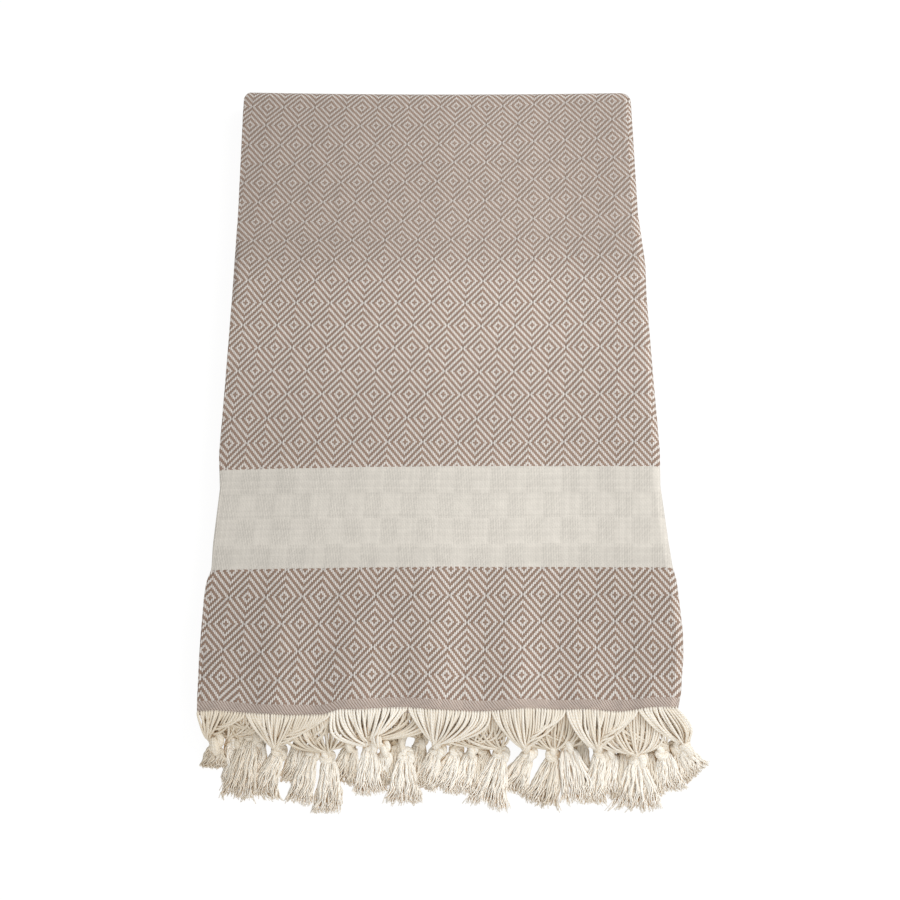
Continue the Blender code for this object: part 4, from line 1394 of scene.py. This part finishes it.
    def knot(self, tassel: Tassel, rng: np.random.Generator) -> Surface:
        """One tight overhand knot, its strands laid round the middle line and turning with it."""
        line, normal, binormal = self.knot_line()
        rings = len(line)
        start = 2 * math.pi * np.arange(self.knot_strands) / self.knot_strands
        angle = start[:, None] + np.linspace(0.0, self.knot_turn, rings)
        arm = self.knot_arm * rng.uniform(0.94, 1.06, (self.knot_strands, 1))
        local = line + arm[..., None] * (
            np.cos(angle)[..., None] * normal + np.sin(angle)[..., None] * binormal
        )
        local = np.concatenate([local, line[None]]) * np.array([1.0, 1.0, self.knot_flatness])
        turned = math.radians(tassel.turn)
        cosine, sine = math.cos(turned), math.sin(turned)
        about = np.array([[cosine, 0.0, sine], [0.0, 1.0, 0.0], [-sine, 0.0, cosine]])
        ahead = unit(self.heading(tassel) + np.array([0.0, 0.0, -self.knot_fall]))
        across = unit(np.cross(ahead, [0.0, 0.0, 1.0]))
        over = np.cross(across, ahead)
        frame = np.stack([across, ahead, over])
        size = tassel.girth * MM
        paths = self.place(tassel.knot) + size * (local @ about.T) @ frame
        lowest = np.min(paths[..., 2]) - self.strand_share * size
        paths[..., 2] += max(0.0, self.floor_gap - lowest)
        radii = np.full(paths.shape[:2], self.strand_share * size)
        radii[-1] = self.knot_core * size
        tone = tassel.tone * rng.uniform(0.96, 1.05, self.knot_strands + 1)
        return sweep(paths, radii, 6, tone)

    def brush(self, tassel: Tassel, rng: np.random.Generator) -> Surface:
        """The cut yarn beyond a knot: a sheaf of twisted cords that fray at the tip.

        A thread is the brush's middle line + its cord's place times the brush's half width and
        half height + its own place in the twisted cord, which opens towards the tip, with a wave
        across that the whole cord shares.
        """
        ahead = self.heading(tassel)
        across = np.array([-ahead[1], ahead[0], 0.0])
        size = tassel.girth * MM
        start = self.place(tassel.knot) + ahead * size * 0.55
        end = self.place((tassel.tip[0], tassel.tip[1], tassel.lie))
        reach = np.linalg.norm(end - start)
        cord = np.repeat(np.arange(self.brush_cords), self.cord_threads)
        thread = np.tile(np.arange(self.cord_threads), self.brush_cords)
        count = len(cord)
        slot = 2 * (cord + 0.5) / self.brush_cords - 1
        cord_across = slot + rng.normal(0, 0.05, self.brush_cords)[cord]
        cord_up = (2 * np.mod(cord * GOLDEN_SHARE, 1.0) - 1) * np.sqrt(1.05 - slot**2)
        length = 1.0 + rng.normal(0, 0.055, self.brush_cords)[cord] + rng.normal(0, 0.025, count)
        length = np.clip(length, *self.brush_lengths)
        share = np.linspace(0.0, 1.0, self.brush_rings)[None] * length[:, None]

        leave = ahead * reach + np.array([0.0, 0.0, -self.brush_fall * reach])
        arrive = ahead * reach + across * rng.normal(0, self.brush_swerve) * reach
        spots = (np.broadcast_to(spot, (count, 3)) for spot in (start, leave, end, arrive))
        middle = hermite(*spots, share)
        half_start, half_end = 0.85 * size, tassel.half_width * MM
        half = half_start + (half_end - half_start) * np.minimum(share, 1.2) ** 0.75
        rise = 0.55 * size + (self.brush_rise - 0.55 * size) * share
        own_turn = 2 * math.pi * (thread / self.cord_threads)[:, None]
        turn = own_turn + self.cord_turns * 2 * math.pi * share
        opening = self.thread_ring * (1 + self.fray * np.maximum(share - self.fray_from, 0.0) ** 2)
        arm = opening * rng.uniform(0.7, 1.2, (count, 1))
        phase = rng.uniform(0, 2 * math.pi, self.brush_cords)[cord][:, None]
        pace = rng.uniform(1.3, 2.4, self.brush_cords)[cord][:, None]
        wave = self.brush_wave * share * np.sin(2 * math.pi * pace * share + phase)
        stray = rng.normal(0, self.stray, (count, 1)) * share**4
        own_phase = rng.uniform(0, 2 * math.pi, (count, 1))
        stray = stray + self.thread_wave * np.sin(2 * math.pi * self.thread_waves * share + own_phase)
        side = cord_across[:, None] * half + arm * np.cos(turn) + wave + stray
        up = cord_up[:, None] * rise + arm * np.sin(turn) * 0.7 + 0.5 * wave
        paths = middle + side[..., None] * across
        paths[..., 2] += up
        floor = self.floor_gap + 0.0003 * rng.uniform(0, 1, (count, 1))
        paths[..., 2] = np.maximum(paths[..., 2], floor)
        taper = 1 - 0.5 * np.linspace(0, 1, self.brush_rings) ** 4
        radii = self.thread_radius * rng.uniform(0.85, 1.15, (count, 1)) * taper
        tone = tassel.tone * rng.uniform(0.95, 1.04, self.brush_cords)[cord]
        # Painted shade: cords low in the brush are drawn darker.
        tone = tone * (1 - self.under_shade * np.clip(0.2 - cord_up, 0.0, 1.2) / 1.2)
        return sweep(paths, radii, 3, tone)

    def build(self) -> list[bpy.types.Object]:
        """Builds the fringe's pieces and sets them on the solid's comb."""
        twisted, cut = self.yarn.material("twisted_cotton"), self.cut_yarn.material("cut_cotton")
        upper = [tassel for tassel in TASSELS if tassel.layer in (Layer.TOP, Layer.SECOND)]
        lower = [tassel for tassel in TASSELS if tassel not in upper]
        makers = (
            ("fringe_cords", self.cords, TASSELS, twisted),
            ("fringe_knots", self.knot, TASSELS, twisted),
            ("upper_brushes", self.brush, upper, cut),
            ("lower_brushes", self.brush, lower, cut),
        )
        pieces = []
        for order, (name, maker, tassels, finish) in enumerate(makers):
            rng = np.random.default_rng(self.seed + order)
            surface = Surface.joined([maker(tassel, rng) for tassel in tassels])
            obj = surface.to_object(name, "yarn", finish)
            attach(obj, "root")
            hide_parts("fringe_front")
            pieces.append(obj)
            LOG.info("%s: %d triangles", name, surface.triangle_count())
        return pieces


@dataclass
class InnerFringe:
    """The same fringe on the cloth's other end, lying flat between the folded runs."""

    plan: FoldPlan
    yarn: TwistedCotton = TwistedCotton()
    groups: int = 6
    cords: int = 16
    rings: int = 7
    length: float = 0.0560
    knot_reach: float = 0.0220
    cord_half_height: float = 0.00040
    second_inset: float = 0.0020
    knot_half_width: float = 0.0030
    tip_spread: float = 0.0042
    root_back: float = 0.0006
    seed: int = 53

    def build(self) -> list[bpy.types.Object]:
        """Flat groups of cords that draw together at the knot and open again to the tip."""
        plan = self.plan
        rng = np.random.default_rng(self.seed)
        left, right = plan.edges(plan.under_outline, np.array(plan.inner_hem))
        right_fold = right - plan.thickness / 2 - plan.nose_right - plan.inner_inset
        parts = []
        top_inset = plan.nose_left + plan.thickness
        insets = (top_inset, self.second_inset, plan.third_inset, plan.fourth_inset)
        for layer, inset in enumerate(insets):
            edges = np.linspace(left + inset, right_fold, self.groups + 1)
            middle = np.repeat((edges[:-1] + edges[1:]) / 2, self.cords)
            half = (edges[1] - edges[0]) / 2
            rank = np.tile(np.linspace(-0.95, 0.95, self.cords), self.groups)
            share = np.linspace(0.0, 1.0, self.rings)[None]
            reach = share * self.length * rng.uniform(0.94, 1.0, (len(rank), 1))
            drawn = ease(reach / self.knot_reach)
            opened = ease((reach - self.knot_reach) / (self.length - self.knot_reach))
            width = half * (1 - drawn) + self.knot_half_width * drawn + self.tip_spread * opened
            x = middle[:, None] + rank[:, None] * width
            y = plan.hem_y + plan.inner_hem - reach + self.root_back
            z = plan.second_z - plan.levels[layer] + rng.uniform(-0.00008, 0.00008, (len(rank), 1))
            paths = np.stack([x, np.broadcast_to(y, x.shape), np.broadcast_to(z, x.shape)], axis=-1)
            radii = np.full(paths.shape[:2], self.cord_half_height)
            parts.append(sweep(paths, radii, 4, rng.uniform(0.93, 1.05, len(rank))))
        surface = Surface.joined(parts)
        obj = surface.to_object("fringe_inside", "yarn", self.yarn.material("flat_cotton"))
        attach(obj, "root")
        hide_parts("fringe_inner")
        LOG.info("fringe_inside: %d triangles", surface.triangle_count())
        return [obj]


# ---- The studio ----


@dataclass(frozen=True)
class SoftBox:
    """A square lamp: name, place, what it points at, width and power."""

    name: str
    place: Point
    aim: Point
    width: float
    power: float

    def build(self) -> None:
        """Adds the lamp."""
        data = bpy.data.lights.new(self.name, "AREA")
        data.shape, data.size, data.energy = "SQUARE", self.width, self.power
        lamp = bpy.data.objects.new(self.name, data)
        lamp.location = self.place
        away = np.array(self.place) - np.array(self.aim)
        level = math.hypot(away[0], away[1])
        lamp.rotation_euler = (math.atan2(level, away[2]), 0.0, math.atan2(away[0], -away[1]))
        bpy.context.scene.collection.objects.link(lamp)


@dataclass
class Studio:
    """A white board under soft light, and the camera of the photograph."""

    board: PaleFloor = PaleFloor()
    board_half: float = 4.0
    board_z: float = -0.0003
    sky: float = 0.58
    camera_place: Point = (0.0, -0.7483, 1.0000)
    camera_tilt: float = 36.0
    lens: float = 88.0
    boxes: tuple[SoftBox, ...] = (
        SoftBox("key", (0.45, 0.10, 0.60), (0.03, 0.0, 0.0), 0.6, 3.8),
        SoftBox("front_fill", (0.1, -1.2, 0.8), (0.0, -0.2, 0.0), 0.9, 6.0),
    )

    def build(self) -> None:
        """Adds floor, sky, lamps and camera."""
        half, z = self.board_half, self.board_z
        corners = np.array([(-half, -half, z), (half, -half, z), (half, half, z), (-half, half, z)])
        square = Surface(corners, np.array([[0, 1, 2, 3]]), np.zeros((1, 4, 2)))
        floor = square.to_object("floor", "plain", self.board.material())
        world = bpy.data.worlds.new("studio")
        world.use_nodes = True
        background = world.node_tree.nodes["Background"]
        background.inputs["Color"].default_value = (1.0, 1.0, 1.0, 1.0)
        background.inputs["Strength"].default_value = self.sky
        scene = bpy.context.scene
        scene.world = world
        scene.view_settings.view_transform = "Standard"
        for box in self.boxes:
            box.build()
        data = bpy.data.cameras.new("camera")
        data.lens = self.lens
        camera = bpy.data.objects.new("camera", data)
        camera.location = self.camera_place
        camera.rotation_euler = (math.radians(self.camera_tilt), 0.0, 0.0)
        scene.collection.objects.link(camera)
        scene.camera = camera


def main() -> None:
    """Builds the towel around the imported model."""
    logging.basicConfig(level=logging.INFO, format="%(message)s")
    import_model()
    plan = FoldPlan(hem_y=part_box("towel")[0].y)
    cloth = FoldedTowel(plan).build()
    pieces = KnottedFringe(plan).build() + InnerFringe(plan).build()
    Studio().build()


if __name__ == "__main__":
    main()
